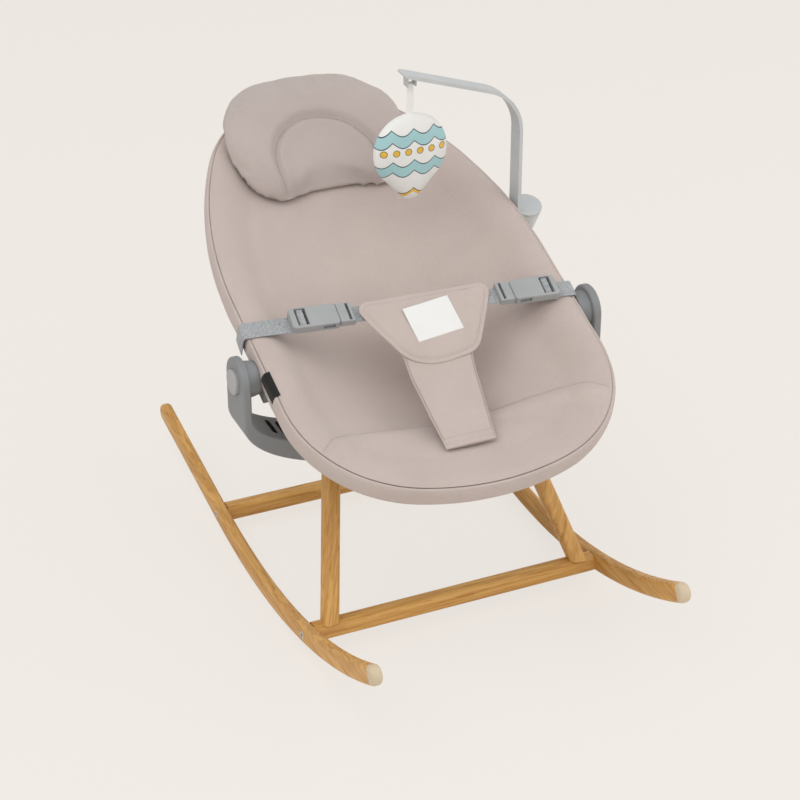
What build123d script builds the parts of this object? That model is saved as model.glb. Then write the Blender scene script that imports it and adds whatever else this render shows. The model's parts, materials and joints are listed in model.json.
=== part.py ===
from build123d import *
import os
from math import acos, asin, atan2, cos, degrees, radians, sin, sqrt

os.makedirs("parts", exist_ok=True)

# Rocking bouncer seat. Millimetres, +Z up, +Y towards the head, X = 0 is the plane of symmetry.

# Half the width of the seat, which also sets where the hubs stand
SEAT_HALF_WIDTH = 213.0

# Rocker runners
RUNNER_RADIUS = 800.0
RUNNER_WIDTH = 15.0
RUNNER_HEIGHT = 25.0
RUNNER_EDGE = 5.5
RUNNER_SPACING = 400.0
RUNNER_LOW_Y = 23.0
RUNNER_FRONT_ANGLE = 29.6
RUNNER_REAR_ANGLE = 9.35
RUNNER_REAR_LENGTH = 228.5
CAP_LENGTH = 14.0
CAP_SPIGOT_R = 3.5
CAP_SPIGOT_LENGTH = 12.0

# Cross bars, their bolts and barrel nuts
BAR_SIZE = 22.0
BAR_EDGE = 7.0
FRONT_BAR_Y = -157.0
REAR_BAR_Y = 155.0
BOLT_R = 3.0
BOLT_HEAD_R = 5.5
BOLT_HEAD_HEIGHT = 4.0
BOLT_KEY_R = 2.0
BOLT_REACH = 52.0
NUT_R = 5.0
NUT_LENGTH = 14.0
NUT_DEPTH = 44.0
HOLE_GAP = 0.2
THREAD_GAP = 0.05

# Legs
LEG_SIZE = 21.0
LEG_EDGE = 7.0
LEG_FOOT_X = 170.0
LEG_TOP_IN = 87.0
LEG_TOP_Y = -60.0
LEG_TOP_Z = 205.0
LEG_END_Z = 226.0
LEG_SPLICE = 62.0
DOWEL_R = 4.0
DOWEL_FOOT_DEPTH = 6.0
DOWEL_DEPTH = 20.0

# Yoke under the seat
HUB_Y = -40.0
HUB_Z = 336.0
YOKE_DEPTH = 60.0
YOKE_ARM = 11.0
YOKE_OUT_DROP = 90.0
YOKE_OUT_Z = 288.5
YOKE_IN_DROP = 64.5
YOKE_IN_Z = 297.0
YOKE_WALL = 3.5
YOKE_EDGE = 3.0
LINER_THICK = 2.5
LINER_GAP = 0.2
SOCKET_BLOCK = 36.0
SOCKET_BLOCK_TOP = 236.0
SOCKET_GAP = 0.15
SLOT_LENGTH = 34.0
SLOT_WIDTH = 7.0
SLOT_PITCH = 13.0
SLOT_X = 176.0
SCREW_R = 2.0
SCREW_HEAD_R = 3.6
SCREW_HEAD_HEIGHT = 2.2
LINER_SCREW_LENGTH = 8.0
LINER_SCREW_STAND = 1.4
LEG_SCREW_LENGTH = 24.0

# Hub: bearing, lock gear and release button; what ends in IN, OUT or END is measured along X
BOSS_R = 30.0
HUB_GAP = 2.0
DRUM_LENGTH = 14.0
DRUM_IN_R = 21.0
DRUM_OUT_R = 24.0
DRUM_FLOOR = 4.0
BUTTON_R = 15.8
BUTTON_PROUD = 5.0
BUTTON_HEAD = 9.0
BUTTON_GAP = 0.5
BUTTON_EDGE = 2.5
BUTTON_STEM_R = 5.0
BUTTON_TRAVEL = 4.4
JOURNAL_R = 10.0
JOURNAL_REACH = 6.0
BORE_DEPTH = 7.5
SHAFT_R = 6.0
SHAFT_DEPTH = 2.0
RUN_GAP = 0.06
CLIP_R = 13.0
CLIP_GROOVE_R = 8.8
CLIP_THICK = 1.2
CLIP_GAP = 0.2
LOCK_STAND = 11.2
LOCK_THICK = 4.8
LOCK_BIG_R = 13.4
LOCK_SMALL_R = 12.2
LOCK_GAP = 0.3
SPRING_BORE_R = 4.2
SPRING_R = 3.2
SPRING_WIRE_R = 0.4
SPRING_TURNS = 7
SPRING_SEAT = 0.7
SPRING_TAIL = 1.2

# Seat frame: x across, s towards the head, n square to the rim plane; the rim plane is n = 0
SEAT_TILT = 20.0
RIM_RISE = 26.0
HEAD_START = 97.0
HEAD_END = 442.0
HEAD_R = 170.0
FOOT_END = -251.0
FOOT_R = 330.0
CORNER_R = 165.0
TUBE_R = 8.0
TUBE_BORE_R = 6.8
TUBE_INSET = 14.0
TUBE_N = -16.0
BRACKET_WEB = 4.0
BRACKET_LENGTH = 52.0
BRACKET_WALL = 11.0
BRACKET_STAND = 4.0
BRACKET_TOP = -5.0
BRACKET_BOTTOM = -48.0
BRACKET_EDGE = 4.0
COLLAR_R = 20.0
COLLAR_GAP = 0.3
RIVET_R = 2.0
RIVET_S = 15.0

# Cover: side band, pads, lower panel and pillow
BAND_HEIGHT = 31.0
BAND_WIDTH = 26.0
BAND_EDGE = 8.0
SOFT_GAP = 0.3
PAD_SPAN = 190.0
PAD_EDGE_N = -5.0
PAD_THICK = 16.0
LEG_PAD_THICK = 18.0
PANEL_THICK = 1.6
SEAT_STATIONS = ((-139.5, -40), (-100, -66), (-40, -78), (40, -76), (140, -58), (240, -36), (340, -20), (460, -8))
LEG_STATIONS = ((-140.5, -22), (-170, -12), (-200, -9), (-260, -8))
PILLOW_THICK = 26.0
PILLOW_STATIONS = (
    (215, -39.4, 0),
    (290, -27.4, 8),
    (345, -18, 34),
    (380, -9, 42),
    (400, -2, 34),
    (420, 1.2, 22),
    (475, 3, 12),
)
PILLOW_TOP_S = 466.0
PILLOW_BOTTOM_S = 279.0
PILLOW_HALF = ((50, 462), (93, 438), (122, 393), (131, 350), (124, 310), (105, 277), (70, 267), (34, 276))

# Harness, measured in its own frame: u along the webbing, v across it, n as on the seat
HARNESS_S = 32.2
HARNESS_ANGLE = -5.03
WEB_WIDTH = 25.0
WEB_THICK = 1.6
WEB_N = 1.6
WEB_STAND = 3.2
WEB_DROP_N = {"left": -27.0, "right": -3.0}
WEB_BEND_R = 4.0
BUCKLE_LENGTH = 60.0
BUCKLE_WIDTH = 33.0
BUCKLE_HEIGHT = 11.0
BUCKLE_BASE_N = 3.0
BUCKLE_EDGE = 2.5
BUCKLE_WALL = 2.2
BUCKLE_MOUTH = 30.0
BUCKLE_TAIL_R = 30.0
LADDER_SLOT = 4.0
LADDER_BAR = 6.0
LADDER_START = 7.0
PRONG_LENGTH = 25.0
PRONG_WIDTH = 4.0
PRONG_THICK = 4.6
GUIDE_WIDTH = 5.0
WINDOW_START = 7.0
WINDOW_LENGTH = 15.0
MALE_BASE = 18.5
MALE_SLOT = 3.6
MALE_BAR = 3.6
MOUTH_GAP = 0.3
TAB_LENGTH = 30.0
TAB_N = 5.0
LOOP_THICK = 1.2
LEFT_MOUTH_U = -96.0
RIGHT_MOUTH_U = 131.0

# Waist flap, crotch strap, label and side tag
FLAP_TILT = 12.4
FLAP_S = 40.0
FLAP_N = 12.5
FLAP_THICK = 4.0
FLAP_POINTS = ((-75, 7), (109.5, 1.5), (89.5, -37), (58.5, -89), (-1.5, -97), (-34, -82), (-63, -25))
FLAP_CORNER = 12.0
LABEL_SIZE = (63.0, 48.0)
LABEL_THICK = 0.6
LABEL_AT = (16.0, -36.0)
LABEL_TURN = 6.0
CROTCH_THICK = 4.0
CROTCH_TOP_S = 14.0
CROTCH_BEND_S = -62.0
CROTCH_HEM_S = -184.0
CROTCH_TOP_X = 14.0
CROTCH_HEM_X = -10.0
CROTCH_TOP_HALF = 50.0
CROTCH_HEM_HALF = 32.0
CROTCH_HEM_N = -7.7
TAG_SIZE = (44.0, 20.0)
TAG_THICK = 0.8
TAG_S = -44.0
TAG_N = -12.0

# Toy holder, toy bar and toy
HOLDER_STAND = 20.0
HOLDER_S = 184.8
HOLDER_R = 20.0
HOLDER_FOOT_R = 14.0
HOLDER_TOP_N = -22.5
HOLDER_HEIGHT = 42.0
HOLDER_BORE_R = 8.0
HOLDER_FLOOR = 5.0
HOLDER_CLIP = 24.0
HOLDER_CLIP_WALL = 2.6
HOLDER_NECK = 9.0
TURRET_THICK = 3.0
TURRET_GAP = 0.3
BAR_OFFSET = 19.6
BAR_BACK = 5.0
BAR_WIDTH = 25.0
BAR_THICK = 4.6
BAR_BEND_Z = 565.0
BAR_BEND_R = 65.0
BAR_TIP_X = 54.0
BAR_RISE = 18.5
TOY_X = 63.0
TOY_LUG = 6.0
TOY_LUG_THICK = 1.6
TOY_PIN_R = 1.2
RIBBON_WIDTH = 9.0
RIBBON_THICK = 1.2
RIBBON_LENGTH = 45.0
RIBBON_TUCK = 6.0
TOY_WIDTH = 102.0
TOY_HEIGHT = 119.0
TOY_FOOT_R = 15.0
TOY_THICK = 28.0
TOY_EDGE = 12.0

SIDES = {"left": -1, "right": 1}

# Directions and places worked out from the driving sizes
TILT = radians(SEAT_TILT)
ALONG = Vector(0, cos(TILT), sin(TILT))
NORMAL = Vector(0, -sin(TILT), cos(TILT))
HUB = Vector(0, HUB_Y, HUB_Z)
DRUM_IN = SEAT_HALF_WIDTH + HUB_GAP
YOKE_IN = DRUM_IN + DRUM_LENGTH
YOKE_OUT = YOKE_IN + YOKE_ARM
BUTTON_OUT = YOKE_OUT + BUTTON_PROUD
BUTTON_IN = BUTTON_OUT - BUTTON_HEAD
JOURNAL_END = DRUM_IN + JOURNAL_REACH
BORE_END = DRUM_IN - BORE_DEPTH
SHAFT_END = DRUM_IN - SHAFT_DEPTH
LOCK_IN = DRUM_IN + LOCK_STAND
SPRING_IN = BORE_END + SPRING_SEAT
SPRING_OUT = LOCK_IN + SPRING_TAIL
TUBE_X = SEAT_HALF_WIDTH - TUBE_INSET
LEG_TOP = (SEAT_HALF_WIDTH - LEG_TOP_IN, LEG_TOP_Y, LEG_TOP_Z)
BRACKET_IN = TUBE_X - BRACKET_WALL
BRACKET_OUT = DRUM_IN - BRACKET_STAND
WEB_DROP_U = SEAT_HALF_WIDTH + WEB_STAND
HOLDER_X = SEAT_HALF_WIDTH + HOLDER_STAND
BAR_X = HOLDER_X - BAR_OFFSET
RUNNER_MID_R = RUNNER_RADIUS - RUNNER_HEIGHT / 2
RUNNER_X = RUNNER_SPACING / 2
BAR_HALF = RUNNER_X - RUNNER_WIDTH / 2
HEAD_RUN = HEAD_END - HEAD_START - HEAD_R
FLANK_R = (SEAT_HALF_WIDTH**2 + HEAD_RUN**2 - HEAD_R**2) / (2 * (SEAT_HALF_WIDTH - HEAD_R))
HEAD_ANGLE = degrees(atan2(HEAD_RUN, FLANK_R - SEAT_HALF_WIDTH))
FOOT_ANGLE = degrees(acos((SEAT_HALF_WIDTH - CORNER_R) / (FOOT_R - CORNER_R)))
CORNER_S = FOOT_END + FOOT_R - (FOOT_R - CORNER_R) * sin(radians(FOOT_ANGLE))


def save(piece, name):
    """Label a finished piece and write it as its own file."""
    piece.part.label = name
    export_step(piece.part, f"parts/{name}.step")


def seat_point(x, s, n):
    """Point of the seat frame in the object's frame."""
    return Vector(x, 0, 0) + HUB + ALONG * s + NORMAL * (n + RIM_RISE)


def seat_plane(n=0.0, x=0.0, s=0.0):
    """Plane parallel to the rim."""
    return Plane(origin=seat_point(x, s, n), x_dir=(1, 0, 0), z_dir=NORMAL)


def section_plane(s):
    """Plane across the seat, local axes x and n."""
    return Plane(origin=seat_point(0, s, 0), x_dir=(1, 0, 0), z_dir=-ALONG)


def hub_plane(side, x):
    """Plane square to the hub axis, facing outwards."""
    return Plane(origin=(side * x, HUB_Y, HUB_Z), x_dir=(0, 1, 0), z_dir=(side, 0, 0))


def rod(plane, radius, length, mode=Mode.ADD):
    """Round rod, or round hole, that starts on a plane."""
    with BuildSketch(plane) as disc:
        Circle(radius)
    extrude(disc.sketch, amount=length, mode=mode)


def block(plane, width, depth, height, mode=Mode.ADD):
    """Rectangular block, or pocket, that starts on a plane and is centred on it."""
    with BuildSketch(plane) as base:
        Rectangle(width, depth)
    extrude(base.sketch, amount=height, mode=mode)


def runner_mid_z(y):
    """Height of the middle of a runner's section."""
    straight_y = RUNNER_LOW_Y + RUNNER_MID_R * sin(radians(RUNNER_REAR_ANGLE))
    if y <= straight_y:
        return RUNNER_RADIUS - sqrt(RUNNER_MID_R**2 - (y - RUNNER_LOW_Y) ** 2)
    straight_z = RUNNER_RADIUS - RUNNER_MID_R * cos(radians(RUNNER_REAR_ANGLE))
    return straight_z + (y - straight_y) * sin(radians(RUNNER_REAR_ANGLE)) / cos(radians(RUNNER_REAR_ANGLE))


# Runners: a bent bar with rounded ends and edges, capped at the front
CAP_ANGLE = radians(RUNNER_FRONT_ANGLE) - (CAP_LENGTH - RUNNER_HEIGHT / 2) / RUNNER_MID_R
BAR_PLACES = ((FRONT_BAR_Y, runner_mid_z(FRONT_BAR_Y)), (REAR_BAR_Y, runner_mid_z(REAR_BAR_Y)))


def cap_plane(x):
    """Plane where a runner's cap meets the wood, facing the front tip."""
    return Plane(
        origin=(x, RUNNER_LOW_Y - RUNNER_MID_R * sin(CAP_ANGLE), RUNNER_RADIUS - RUNNER_MID_R * cos(CAP_ANGLE)),
        x_dir=(1, 0, 0),
        z_dir=(0, -cos(CAP_ANGLE), sin(CAP_ANGLE)),
    )


def runner_body(x):
    """Whole runner with its cap, before the two are parted."""
    with BuildSketch(Plane.YZ.offset(x)) as outline:
        with BuildLine():
            bend = CenterArc(
                (RUNNER_LOW_Y, RUNNER_RADIUS),
                RUNNER_MID_R,
                270 - RUNNER_FRONT_ANGLE,
                RUNNER_FRONT_ANGLE + RUNNER_REAR_ANGLE,
            )
            Line(bend @ 1, bend @ 1 + (bend % 1) * RUNNER_REAR_LENGTH)
            offset(amount=RUNNER_HEIGHT / 2, side=Side.BOTH, mode=Mode.REPLACE)
        make_face()
    bar = extrude(outline.sketch, amount=RUNNER_WIDTH / 2, both=True)
    fillet(bar.faces().filter_by(Axis.X).edges(), RUNNER_EDGE)


for word, side in SIDES.items():
    runner_x = side * RUNNER_X
    outer_x = runner_x + side * RUNNER_WIDTH / 2
    with BuildPart() as runner:
        runner_body(runner_x)
        split(bisect_by=cap_plane(runner_x), keep=Keep.BOTTOM)
        rod(cap_plane(runner_x), CAP_SPIGOT_R + HOLE_GAP / 2, -CAP_SPIGOT_LENGTH - HOLE_GAP, Mode.SUBTRACT)
        for bar_y, bar_z in BAR_PLACES:
            entry = Plane(origin=(outer_x, bar_y, bar_z), x_dir=(0, 1, 0), z_dir=(-side, 0, 0))
            rod(entry, BOLT_R + HOLE_GAP, RUNNER_WIDTH, Mode.SUBTRACT)
            rod(entry, BOLT_HEAD_R + HOLE_GAP, BOLT_HEAD_HEIGHT + HOLE_GAP, Mode.SUBTRACT)
    save(runner, f"runner_{word}")

    with BuildPart() as runner_cap:
        runner_body(runner_x)
        split(bisect_by=cap_plane(runner_x), keep=Keep.TOP)
        rod(cap_plane(runner_x), CAP_SPIGOT_R, -CAP_SPIGOT_LENGTH)
    save(runner_cap, f"runner_cap_{word}")

# Legs: each leans in and back from the front bar into the yoke
LEG_FOOT = Vector(LEG_FOOT_X, FRONT_BAR_Y, runner_mid_z(FRONT_BAR_Y) + BAR_SIZE / 2)
LEG_AXIS = (Vector(*LEG_TOP) - LEG_FOOT).normalized()
LEG_REACH = (LEG_END_Z - LEG_FOOT.Z) / LEG_AXIS.Z + LEG_SIZE


def leg_plane(side, distance):
    """Plane square to a leg, at a distance along it from its foot."""
    axis = Vector(side * LEG_AXIS.X, LEG_AXIS.Y, LEG_AXIS.Z)
    foot = Vector(side * LEG_FOOT.X, LEG_FOOT.Y, LEG_FOOT.Z)
    return Plane(origin=foot + axis * distance, x_dir=Vector(axis.Z, 0, -axis.X), z_dir=axis)


def leg_screw_plane(side):
    """Plane on a leg socket's block where the leg's screw goes down into the leg."""
    rise = (LEG_END_Z - LEG_FOOT.Z) / LEG_AXIS.Z
    top = LEG_FOOT + LEG_AXIS * rise
    return Plane(origin=(side * top.X, top.Y, SOCKET_BLOCK_TOP), x_dir=(1, 0, 0), z_dir=(0, 0, -1))


def leg_body(side, size, end_z):
    """Leg from the top of the front bar up to a level end."""
    with BuildSketch(leg_plane(side, -LEG_SIZE)) as section:
        RectangleRounded(size, size, LEG_EDGE)
    extrude(section.sketch, amount=LEG_REACH + 2 * LEG_SIZE)
    split(bisect_by=Plane.XY.offset(LEG_FOOT.Z), keep=Keep.TOP)
    split(bisect_by=Plane.XY.offset(end_z), keep=Keep.BOTTOM)


# Cross bars with bolt holes at both ends; the front one also takes the leg dowels
for name, (bar_y, bar_z) in zip(("front_bar", "rear_bar"), BAR_PLACES):
    with BuildPart() as cross_bar:
        with BuildSketch(Plane.YZ.offset(-BAR_HALF)):
            with Locations((bar_y, bar_z)):
                RectangleRounded(BAR_SIZE, BAR_SIZE, BAR_EDGE)
        extrude(amount=2 * BAR_HALF)
        for side in SIDES.values():
            end = Plane(origin=(side * BAR_HALF, bar_y, bar_z), x_dir=(0, 1, 0), z_dir=(-side, 0, 0))
            rod(end, BOLT_R + HOLE_GAP, BOLT_REACH + HOLE_GAP, Mode.SUBTRACT)
            seat_of_nut = Plane.XY.move(Location((side * (BAR_HALF - NUT_DEPTH), bar_y, bar_z - BAR_SIZE / 2)))
            rod(seat_of_nut, NUT_R + HOLE_GAP / 2, (BAR_SIZE + NUT_LENGTH) / 2 + HOLE_GAP, Mode.SUBTRACT)
            if name == "front_bar":
                dowel_start = leg_plane(side, -DOWEL_FOOT_DEPTH - HOLE_GAP)
                rod(dowel_start, DOWEL_R + THREAD_GAP, DOWEL_FOOT_DEPTH + DOWEL_DEPTH, Mode.SUBTRACT)
    save(cross_bar, name)

with BuildPart() as runner_bolts:
    for side in SIDES.values():
        for bar_y, bar_z in BAR_PLACES:
            head_x = side * (RUNNER_X + RUNNER_WIDTH / 2 - HOLE_GAP / 2)
            head = Plane(origin=(head_x, bar_y, bar_z), x_dir=(0, 1, 0), z_dir=(-side, 0, 0))
            rod(head, BOLT_HEAD_R, BOLT_HEAD_HEIGHT)
            rod(head, BOLT_R, RUNNER_WIDTH + BOLT_REACH - HOLE_GAP)
            with BuildSketch(head) as key:
                RegularPolygon(BOLT_KEY_R, 6)
            extrude(key.sketch, amount=BOLT_HEAD_HEIGHT / 2, mode=Mode.SUBTRACT)
save(runner_bolts, "runner_bolts")

with BuildPart() as barrel_nuts:
    for side in SIDES.values():
        for bar_y, bar_z in BAR_PLACES:
            nut_x = side * (BAR_HALF - NUT_DEPTH)
            rod(Plane.XY.move(Location((nut_x, bar_y, bar_z - NUT_LENGTH / 2))), NUT_R, NUT_LENGTH)
            bolt_way = Plane(origin=(nut_x - 2 * NUT_R, bar_y, bar_z), x_dir=(0, 1, 0), z_dir=(1, 0, 0))
            rod(bolt_way, BOLT_R + THREAD_GAP, 4 * NUT_R, Mode.SUBTRACT)
save(barrel_nuts, "barrel_nuts")

with BuildPart() as leg_dowels:
    for side in SIDES.values():
        rod(leg_plane(side, -DOWEL_FOOT_DEPTH), DOWEL_R, DOWEL_FOOT_DEPTH + DOWEL_DEPTH)
        rod(leg_plane(side, LEG_SPLICE - DOWEL_DEPTH), DOWEL_R, 2 * DOWEL_DEPTH)
save(leg_dowels, "leg_dowels")

for word, side in SIDES.items():
    with BuildPart() as leg_stub:
        leg_body(side, LEG_SIZE, LEG_END_Z)
        split(bisect_by=leg_plane(side, LEG_SPLICE), keep=Keep.BOTTOM)
        rod(leg_plane(side, -LEG_SIZE), DOWEL_R + THREAD_GAP, LEG_SIZE + DOWEL_DEPTH + HOLE_GAP, Mode.SUBTRACT)
        rod(leg_plane(side, LEG_SPLICE), DOWEL_R + THREAD_GAP, -DOWEL_DEPTH - HOLE_GAP, Mode.SUBTRACT)
    save(leg_stub, f"leg_stub_{word}")

    with BuildPart() as leg:
        leg_body(side, LEG_SIZE, LEG_END_Z)
        split(bisect_by=leg_plane(side, LEG_SPLICE), keep=Keep.TOP)
        rod(leg_plane(side, LEG_SPLICE), DOWEL_R + THREAD_GAP, DOWEL_DEPTH + HOLE_GAP, Mode.SUBTRACT)
        rod(leg_screw_plane(side), SCREW_R + THREAD_GAP, LEG_SCREW_LENGTH + HOLE_GAP, Mode.SUBTRACT)
    save(leg, f"leg_{word}")

# Yoke: a broad hollow U with round ends, closed on its inner side by a slotted liner
YOKE_PLANE = Plane.XZ.offset(-HUB_Y)
CAVITY_TOP = HUB_Z - BOSS_R - YOKE_WALL
CAVITY_DEPTH = YOKE_DEPTH - 2 * YOKE_WALL
LINER_SCREW_Z = CAVITY_TOP - 1.5 * SCREW_HEAD_R
POST_IN = YOKE_IN + LINER_THICK + LINER_GAP


def yoke_curve(half_width, drop, level, top):
    """One side of the U: straight down from the top, round the bottom and up again."""
    EllipticalCenterArc((0, level), half_width, drop, start_angle=180, arc_size=180)
    Line((-half_width, level), (-half_width, top))
    Line((half_width, level), (half_width, top))


def liner_screw_plane(side, x):
    """Plane square to a liner screw, facing outwards."""
    return Plane(origin=(side * x, HUB_Y, LINER_SCREW_Z), x_dir=(0, 1, 0), z_dir=(side, 0, 0))


leg_pockets = []
for side in SIDES.values():
    with BuildPart() as leg_pocket:
        leg_body(side, LEG_SIZE + 2 * SOCKET_GAP, LEG_END_Z + SOCKET_GAP)
    leg_pockets.append(leg_pocket.part)

with BuildPart() as yoke_shell:
    with BuildSketch(YOKE_PLANE):
        with BuildLine():
            yoke_curve(YOKE_OUT, YOKE_OUT_DROP, YOKE_OUT_Z, HUB_Z)
            yoke_curve(YOKE_IN, YOKE_IN_DROP, YOKE_IN_Z, HUB_Z)
            for side in SIDES.values():
                Line((side * YOKE_IN, HUB_Z), (side * YOKE_OUT, HUB_Z))
        make_face()
    extrude(amount=YOKE_DEPTH / 2, both=True)
    for side in SIDES.values():
        rod(hub_plane(side, YOKE_IN), BOSS_R, YOKE_OUT - YOKE_IN)
    outer_edges = [
        edge
        for edge in yoke_shell.edges()
        if abs(edge.center().Y - HUB_Y) > YOKE_DEPTH / 2 - YOKE_EDGE and edge.length > YOKE_DEPTH
    ]
    fillet(outer_edges, YOKE_EDGE)
    with BuildSketch(YOKE_PLANE):
        with BuildLine():
            yoke_curve(YOKE_OUT - YOKE_WALL, YOKE_OUT_DROP - YOKE_WALL, YOKE_OUT_Z, CAVITY_TOP)
            Line((YOKE_WALL - YOKE_OUT, CAVITY_TOP), (YOKE_OUT - YOKE_WALL, CAVITY_TOP))
        make_face()
        with Locations([(leg_screw_plane(side).origin.X, SOCKET_BLOCK_TOP) for side in SIDES.values()]):
            Rectangle(SOCKET_BLOCK, YOKE_OUT_DROP, align=(Align.CENTER, Align.MAX), mode=Mode.SUBTRACT)
    extrude(amount=CAVITY_DEPTH / 2, both=True, mode=Mode.SUBTRACT)
    for side, pocket in zip(SIDES.values(), leg_pockets):
        with BuildSketch(hub_plane(side, DRUM_IN)) as drum_end:
            Circle(DRUM_IN_R)
        with BuildSketch(hub_plane(side, YOKE_IN + YOKE_EDGE)) as drum_root:
            Circle(DRUM_OUT_R)
        loft([drum_end.sketch, drum_root.sketch])
        rod(hub_plane(side, DRUM_IN + DRUM_FLOOR), BUTTON_R + BUTTON_GAP, YOKE_OUT, Mode.SUBTRACT)
        rod(hub_plane(side, DRUM_IN), JOURNAL_R + RUN_GAP, DRUM_FLOOR, Mode.SUBTRACT)
        add(pocket, mode=Mode.SUBTRACT)
        rod(leg_screw_plane(side), SCREW_R + HOLE_GAP, SOCKET_BLOCK_TOP - LEG_END_Z, Mode.SUBTRACT)
        rod(liner_screw_plane(side, POST_IN), 3 * SCREW_R, YOKE_OUT - YOKE_WALL - POST_IN)
        rod(liner_screw_plane(side, POST_IN), SCREW_R + THREAD_GAP, LINER_SCREW_LENGTH, Mode.SUBTRACT)
save(yoke_shell, "yoke_shell")

with BuildPart() as yoke_liner:
    with BuildSketch(YOKE_PLANE):
        with BuildLine():
            yoke_curve(YOKE_IN, YOKE_IN_DROP, YOKE_IN_Z, CAVITY_TOP - LINER_GAP)
            liner_out = YOKE_IN + LINER_THICK
            yoke_curve(liner_out, YOKE_IN_DROP + LINER_THICK, YOKE_IN_Z, CAVITY_TOP - LINER_GAP)
            for side in SIDES.values():
                Line((side * YOKE_IN, CAVITY_TOP - LINER_GAP), (side * liner_out, CAVITY_TOP - LINER_GAP))
        make_face()
    extrude(amount=CAVITY_DEPTH / 2 - LINER_GAP, both=True)
    for side in SIDES.values():
        rod(liner_screw_plane(side, YOKE_IN), SCREW_R + HOLE_GAP, LINER_THICK, Mode.SUBTRACT)
        with BuildSketch(Plane.XY.offset(YOKE_OUT_Z - YOKE_OUT_DROP)) as slots:
            with Locations((side * SLOT_X, HUB_Y)):
                with GridLocations(SLOT_PITCH, 0, 4, 1):
                    SlotOverall(SLOT_LENGTH, SLOT_WIDTH, rotation=90)
        extrude(slots.sketch, amount=YOKE_OUT_DROP, mode=Mode.SUBTRACT)
save(yoke_liner, "yoke_liner")

with BuildPart() as yoke_screws:
    for side in SIDES.values():
        under_head = liner_screw_plane(side, YOKE_IN - LINER_SCREW_STAND)
        rod(under_head, SCREW_HEAD_R, -SCREW_HEAD_HEIGHT)
        rod(under_head, SCREW_R, LINER_SCREW_LENGTH)
save(yoke_screws, "yoke_screws")

with BuildPart() as leg_screws:
    for side in SIDES.values():
        under_head = leg_screw_plane(side).offset(-HOLE_GAP / 2)
        rod(under_head, SCREW_HEAD_R, -SCREW_HEAD_HEIGHT)
        rod(under_head, SCREW_R, LEG_SCREW_LENGTH)
save(leg_screws, "leg_screws")


# Seat frame: one outline drives the tubes, the band and the pads
def outline_face(plane, inset, inner=None):
    """Rim outline moved in by an inset, or the ring between two insets."""
    with BuildSketch(plane) as face:
        for step, mode in ((inset, Mode.ADD), (inner, Mode.SUBTRACT)):
            if step is None:
                continue
            with BuildLine():
                CenterArc((0, HEAD_END - HEAD_R), HEAD_R - step, 90, HEAD_ANGLE - 90)
                flank = CenterArc((SEAT_HALF_WIDTH - FLANK_R, HEAD_START), FLANK_R - step, HEAD_ANGLE, -HEAD_ANGLE)
                Line(flank @ 1, (SEAT_HALF_WIDTH - step, CORNER_S))
                CenterArc((SEAT_HALF_WIDTH - CORNER_R, CORNER_S), CORNER_R - step, 0, -FOOT_ANGLE)
                CenterArc((0, FOOT_END + FOOT_R), FOOT_R - step, -FOOT_ANGLE, FOOT_ANGLE - 90)
                mirror(about=Plane.YZ)
            make_face(mode=mode)
    return face.sketch


def bend_tube(path):
    """Hollow tube along a path."""
    start = Plane(origin=path @ 0, z_dir=path % 0)
    with BuildSketch(start) as ring:
        Circle(TUBE_R)
        Circle(TUBE_BORE_R, mode=Mode.SUBTRACT)
    sweep(ring.sketch, path=path)


def rivet_plane(side, s):
    """Plane under the top of a pivot bracket where a rivet goes down through the tube."""
    return Plane(origin=seat_point(side * TUBE_X, s, BRACKET_TOP), x_dir=(1, 0, 0), z_dir=-NORMAL)


RIVET_LENGTH = BRACKET_TOP - TUBE_N + TUBE_R + 3 * RIVET_R

with BuildPart() as back_tube:
    with BuildLine(seat_plane(TUBE_N)) as back_path:
        Line((TUBE_X, BRACKET_WEB / 2), (TUBE_X, HEAD_START))
        CenterArc((SEAT_HALF_WIDTH - FLANK_R, HEAD_START), FLANK_R - TUBE_INSET, 0, HEAD_ANGLE)
        CenterArc((0, HEAD_END - HEAD_R), HEAD_R - TUBE_INSET, HEAD_ANGLE, 180 - 2 * HEAD_ANGLE)
        CenterArc((FLANK_R - SEAT_HALF_WIDTH, HEAD_START), FLANK_R - TUBE_INSET, 180 - HEAD_ANGLE, HEAD_ANGLE)
        Line((-TUBE_X, HEAD_START), (-TUBE_X, BRACKET_WEB / 2))
    bend_tube(back_path.wires()[0])
    for side in SIDES.values():
        rod(rivet_plane(side, RIVET_S), RIVET_R + THREAD_GAP, RIVET_LENGTH, Mode.SUBTRACT)
save(back_tube, "back_tube")

with BuildPart() as leg_tube:
    with BuildLine(seat_plane(TUBE_N)) as leg_path:
        Line((-TUBE_X, -BRACKET_WEB / 2), (-TUBE_X, CORNER_S))
        CenterArc((CORNER_R - SEAT_HALF_WIDTH, CORNER_S), CORNER_R - TUBE_INSET, 180, FOOT_ANGLE)
        CenterArc((0, FOOT_END + FOOT_R), FOOT_R - TUBE_INSET, 180 + FOOT_ANGLE, 180 - 2 * FOOT_ANGLE)
        CenterArc((SEAT_HALF_WIDTH - CORNER_R, CORNER_S), CORNER_R - TUBE_INSET, -FOOT_ANGLE, FOOT_ANGLE)
        Line((TUBE_X, CORNER_S), (TUBE_X, -BRACKET_WEB / 2))
    bend_tube(leg_path.wires()[0])
    for side in SIDES.values():
        rod(rivet_plane(side, -RIVET_S), RIVET_R + THREAD_GAP, RIVET_LENGTH, Mode.SUBTRACT)
save(leg_tube, "leg_tube")

with BuildPart() as tube_rivets:
    for side in SIDES.values():
        for s in (RIVET_S, -RIVET_S):
            rod(rivet_plane(side, s), RIVET_R, RIVET_LENGTH)
save(tube_rivets, "tube_rivets")

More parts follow.
